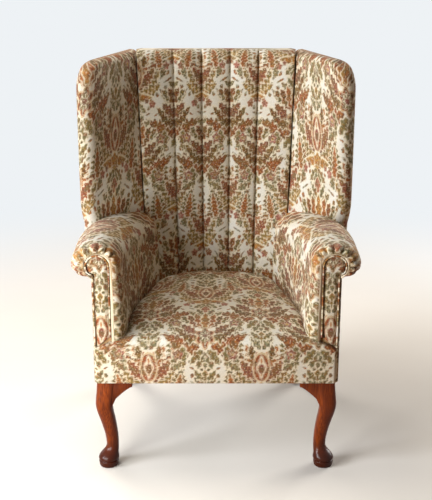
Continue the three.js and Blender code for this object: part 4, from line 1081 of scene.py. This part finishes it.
# Height, inset of the centre from the knee's corner, half size, squareness; millimetres
LEG_ROWS = np.array([
    [0, 23.5, 23.6, 2], [2, 23.5, 25.4, 2], [8, 23.5, 26.8, 2], [14, 23.5, 27.4, 2], [17.4, 23.5, 26.8, 2],
    [19, 23.5, 24.4, 2], [20.6, 23.5, 26.6, 2], [23, 23.7, 28.3, 2], [26.5, 24.0, 28.2, 2],
    [30, 24.5, 27.4, 2], [38, 27, 23.8, 2], [46, 31.3, 19.8, 2], [55, 33.9, 17.4, 2], [70, 34.2, 17.2, 2.1],
    [87, 33.1, 17.7, 2.2], [117, 29.0, 19.3, 2.4], [147, 23.5, 21.1, 2.5], [163, 20.2, 21.8, 2.6],
    [179, 17.6, 22.5, 2.7], [193, 16.8, 23, 2.8], [209, 18.4, 23.6, 3], [230, 21.2, 24.2, 3.4],
    [250, 23.4, 24.6, 4.5], [269.6, 25, 25, 7],
])
# Where the foot's close rings end, in millimetres, then the knee's distance behind the apron in metres
FOOT_TOP = 26
LEG_SETBACK = 0.024
LEG_SIDES = 56


def front_leg(side, sign):
    """Superellipse rings whose centre, size and squareness follow the cabriole curve."""
    z = np.concatenate([spread(0, FOOT_TOP, 0.6), spread(FOOT_TOP + 1, LEG_ROWS[-1, 0], 2.4)])
    inset, half, power = (curve_through(z, LEG_ROWS[:, 0], LEG_ROWS[:, k])[:, None] for k in (1, 2, 3))
    a = np.linspace(0, 2 * np.pi, LEG_SIDES, endpoint=False)[None, :]
    radius = half / (np.abs(np.cos(a)) ** power + np.abs(np.sin(a)) ** power) ** (1 / power)
    x = FRONT_HALF * MM_PER_METRE - inset + radius * np.cos(a)
    y = LEG_SETBACK * MM_PER_METRE + inset + radius * np.sin(a)
    points = stack(sign * x, y, z[:, None]) / MM_PER_METRE
    piece = make_piece(f"{side}_cabriole_leg", points, MAHOGANY, closed=True, caps=True)
    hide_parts(f"{side}_front_leg")


# Knee ear: start inside the leg, reach, thickness, depth at the tip, fall to the leg, eased edge
EAR_ROOT = -0.012
EAR_REACH = 0.046
EAR_THICK = 0.024
EAR_TIP = 0.024
EAR_FALL = 0.036
EAR_EASE = 0.003
# Clearance under the rail, distance of the ear from the leg's corner, and setback of its face
EAR_GAP = 0.0004
EAR_START = 0.0496
EAR_SETBACK = 0.003


def ear(side, sign, forward):
    """A bracket beside the knee: its lower edge falls in a hollow curve from the tip to the leg, and
    runs on into the leg; the long edges are eased."""
    top = LEG_HEIGHT - EAR_GAP
    reach = spread(EAR_ROOT, EAR_REACH, 0.0016)
    fall = EAR_FALL * (1 - np.maximum(reach, 0) / EAR_REACH) ** 1.3
    low = top - EAR_TIP - fall + 2.2 * np.minimum(reach, 0)
    run = np.concatenate([reach, [EAR_REACH, EAR_ROOT]])
    rise = np.concatenate([low, [top, top]])
    middle = np.array([EAR_REACH * 0.4, top - 0.012])
    eased = [(0, 0.10), (EAR_EASE * 0.4, 0.03), (EAR_EASE, 0)]
    rings = []
    for depth, shrink in eased + [(EAR_THICK - d, s) for d, s in reversed(eased)]:
        along = run + (middle[0] - run) * shrink
        up = rise + (middle[1] - rise) * shrink
        if forward:
            x, y = FRONT_HALF - EAR_START - along, LEG_SETBACK + EAR_SETBACK + depth
        else:
            x, y = FRONT_HALF - EAR_SETBACK - depth, LEG_SETBACK + EAR_START + along
        rings.append(stack(sign * x, y, up))
    name = "front" if forward else "side"
    piece = make_piece(f"{side}_{name}_ear", np.array(rings), MAHOGANY, closed=True, caps=True)
    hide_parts(f"{side}_{name}_knee_ear")


# Bottom lining: height, thickness, sag, and first and last depth from the apron and from the posts' feet
LINING_HEIGHT = 0.2706
LINING_THICK = 0.0012
LINING_SAG = 0.006
LINING_START = 0.0164
LINING_END = 0.008
# Its half widths between the legs, its distance from the sides, and how deep its notches run
LINING_FRONT_HALF = 0.267
LINING_REAR_HALF = 0.243
LINING_MARGIN = 0.010
FRONT_NOTCH = 0.082
REAR_NOTCH = POST_DEPTH + 0.012


def bottom_cloth():
    """A taut lining under the seat with a slight sag, notched at the legs by its outline."""
    y = spread(LINING_START, POST_FOOT_Y - LINING_END, 0.012)[:, None]
    half = np.where(y < FRONT_NOTCH, LINING_FRONT_HALF, side_x(y) - LINING_MARGIN)
    half = np.where(y > POST_FOOT_Y - REAR_NOTCH, LINING_REAR_HALF, half)
    u = np.linspace(-1, 1, 45)[None, :]
    sag = -LINING_SAG * (1 - u ** 2) * np.sin(np.pi * share(y, y.min(), y.max()))
    points = stack(u * half, y, LINING_HEIGHT + sag)
    piece = make_piece("bottom_lining", points, BLACK_CLOTH)
    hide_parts("bottoming_cloth")
    thick = piece.modifiers.new("thickness", "SOLIDIFY")
    thick.thickness = LINING_THICK


seat_cover()
back_cover()
for side, sign in (("right", 1), ("left", -1)):
    wing_cover(side, sign)
    arm_cover(side, sign)
    facing_cover(side, sign)
    arm_piping(side, sign)
    outside_arm_cover(side, sign)
    outside_wing_cover(side, sign)
    front_leg(side, sign)
    ear(side, sign, True)
    ear(side, sign, False)
outside_back_cover()
bottom_cloth()

FINISHES = {"beech": BEECH, "mahogany": MAHOGANY, "jute": JUTE, "spring_steel": STEEL, "damask": DAMASK,
            "piping": PIPED, "black_cloth": BLACK_CLOTH}
for part in frame["record"]["subparts"]:
    solid = frame["nodes"][part["node"]]
    solid.data.materials.clear()
    solid.data.materials.append(FINISHES[part["material_slot"]])


# Floor, backdrop, light and camera

FLOOR_RADIUS = 14.0
FADE_START = 0.9
FADE_END = 2.6
FLOOR_BOUNCE = srgb(158, 116, 70)
PALE_ROOM = srgb(238, 242, 245)
ROOM_GLOW = (1.0, 0.66, 0.36)
ROOM_LEVEL = 0.06


def seen_by_eye(tree):
    """1 for what the camera sees, directly or in polish and glass, and 0 for bounced light."""
    path = node(tree, "ShaderNodeLightPath").outputs
    seen = math_node(tree, "MAXIMUM", path["Is Camera Ray"], path["Is Glossy Ray"])
    return math_node(tree, "MAXIMUM", seen, path["Is Transmission Ray"])


def floor_material():
    """A pale matte floor that keeps the chair's shadow and fades with distance into the pale room.
    To the light that bounces off it, it is warmer and darker instead."""
    material, tree, shader = new_material("floor")
    place = node(tree, "ShaderNodeTexCoord").outputs["Object"]
    seen = seen_by_eye(tree)
    distance = node(tree, "ShaderNodeVectorMath", operation="LENGTH")
    feed(tree, distance.inputs[0], place)
    fade = map_node(tree, distance.outputs["Value"], "SMOOTHSTEP", From_Min=FADE_START, From_Max=FADE_END)
    near = mix_colour(tree, noise_node(tree, place, scale=3), srgb(226, 220, 212), srgb(232, 227, 220))
    shown = mix_colour(tree, fade, near, (0.0, 0.0, 0.0))
    colour = mix_colour(tree, seen, FLOOR_BOUNCE, shown)
    glow = math_node(tree, "MULTIPLY", seen, fade)
    feed_all(tree, shader, Base_Color=colour, Roughness=0.9, Specular_IOR_Level=0.0)
    feed_all(tree, shader, Emission_Color=PALE_ROOM, Emission_Strength=glow)
    return material


def floor():
    """A wide round floor."""
    a = np.linspace(0, 2 * math.pi, 96, endpoint=False)
    rim = np.stack([FLOOR_RADIUS * np.cos(a), FLOOR_RADIUS * np.sin(a), np.zeros_like(a)], axis=-1)
    mesh = bpy.data.meshes.new("floor")
    mesh.from_pydata(rim.tolist(), [], [list(range(len(a)))])
    mesh.materials.append(floor_material())
    made = bpy.data.objects.new("floor", mesh)
    bpy.context.scene.collection.objects.link(made)


def pale_room():
    """The world: a pale room to the eye, and a faint warm light to everything else."""
    world = bpy.data.worlds.new("room")
    world.use_nodes = True
    tree = world.node_tree
    background = tree.nodes["Background"]
    seen = seen_by_eye(tree)
    colour = mix_colour(tree, seen, ROOM_GLOW, PALE_ROOM)
    feed_all(tree, background, Color=colour, Strength=map_node(tree, seen, To_Min=ROOM_LEVEL, To_Max=1.0))
    bpy.context.scene.world = world


def lamp(name, place, target, size, power, colour):
    """A square lamp turned to face its target."""
    data = bpy.data.lights.new(name, "AREA")
    data.energy = power
    data.size = size
    data.color = colour
    made = bpy.data.objects.new(name, data)
    made.location = place
    aim = np.array(target) - np.array(place)
    yaw = math.atan2(aim[1], aim[0]) - math.pi / 2
    pitch = math.atan2(aim[2], math.hypot(aim[0], aim[1])) + math.pi / 2
    made.rotation_euler = (pitch, 0, yaw)
    bpy.context.scene.collection.objects.link(made)


# Camera: height and distance from the apron in metres, tilt in degrees, then the lens
CAMERA_HEIGHT = 1.427
CAMERA_BACK = 2.443
CAMERA_PITCH = 17.74
FOCAL_PIXELS = 1000
FRAME_HEIGHT = 500
SENSOR = 36


def camera():
    """A camera straight in front of the chair, tilted down."""
    data = bpy.data.cameras.new("camera")
    data.sensor_width = SENSOR
    data.lens = SENSOR * FOCAL_PIXELS / FRAME_HEIGHT
    made = bpy.data.objects.new("camera", data)
    made.location = (0, FRONT_ROW - CAMERA_BACK, CAMERA_HEIGHT)
    made.rotation_euler = (math.radians(90 - CAMERA_PITCH), 0, 0)
    bpy.context.scene.collection.objects.link(made)
    bpy.context.scene.camera = made


# Lamps: name, place, target, size in metres, power in watts, colour
LAMPS = [
    ("window", (-3.2, -1.5, 1.75), (0, 0, 0.65), 1.3, 116, (0.96, 1.0, 1.06)),
    ("fill", (-0.85, -1.2, 0.5), (0, -0.35, 0.35), 0.6, 17.5, (0.98, 1.0, 0.98)),
    ("ceiling", (-0.8, 0.25, 2.8), (0, -0.1, 0.4), 1.4, 34, (1.0, 0.93, 0.82)),
    ("rear_right", (2.6, 2.0, 1.5), (0.2, 0.2, 0.6), 1.8, 90, (1.0, 0.99, 0.97)),
    ("rear_left", (-2.2, 2.6, 1.7), (-0.1, 0.3, 0.6), 1.8, 55, (1.0, 0.99, 0.97)),
]

floor()
pale_room()
for row in LAMPS:
    lamp(*row)
bpy.context.scene.view_settings.view_transform = "Standard"
camera()
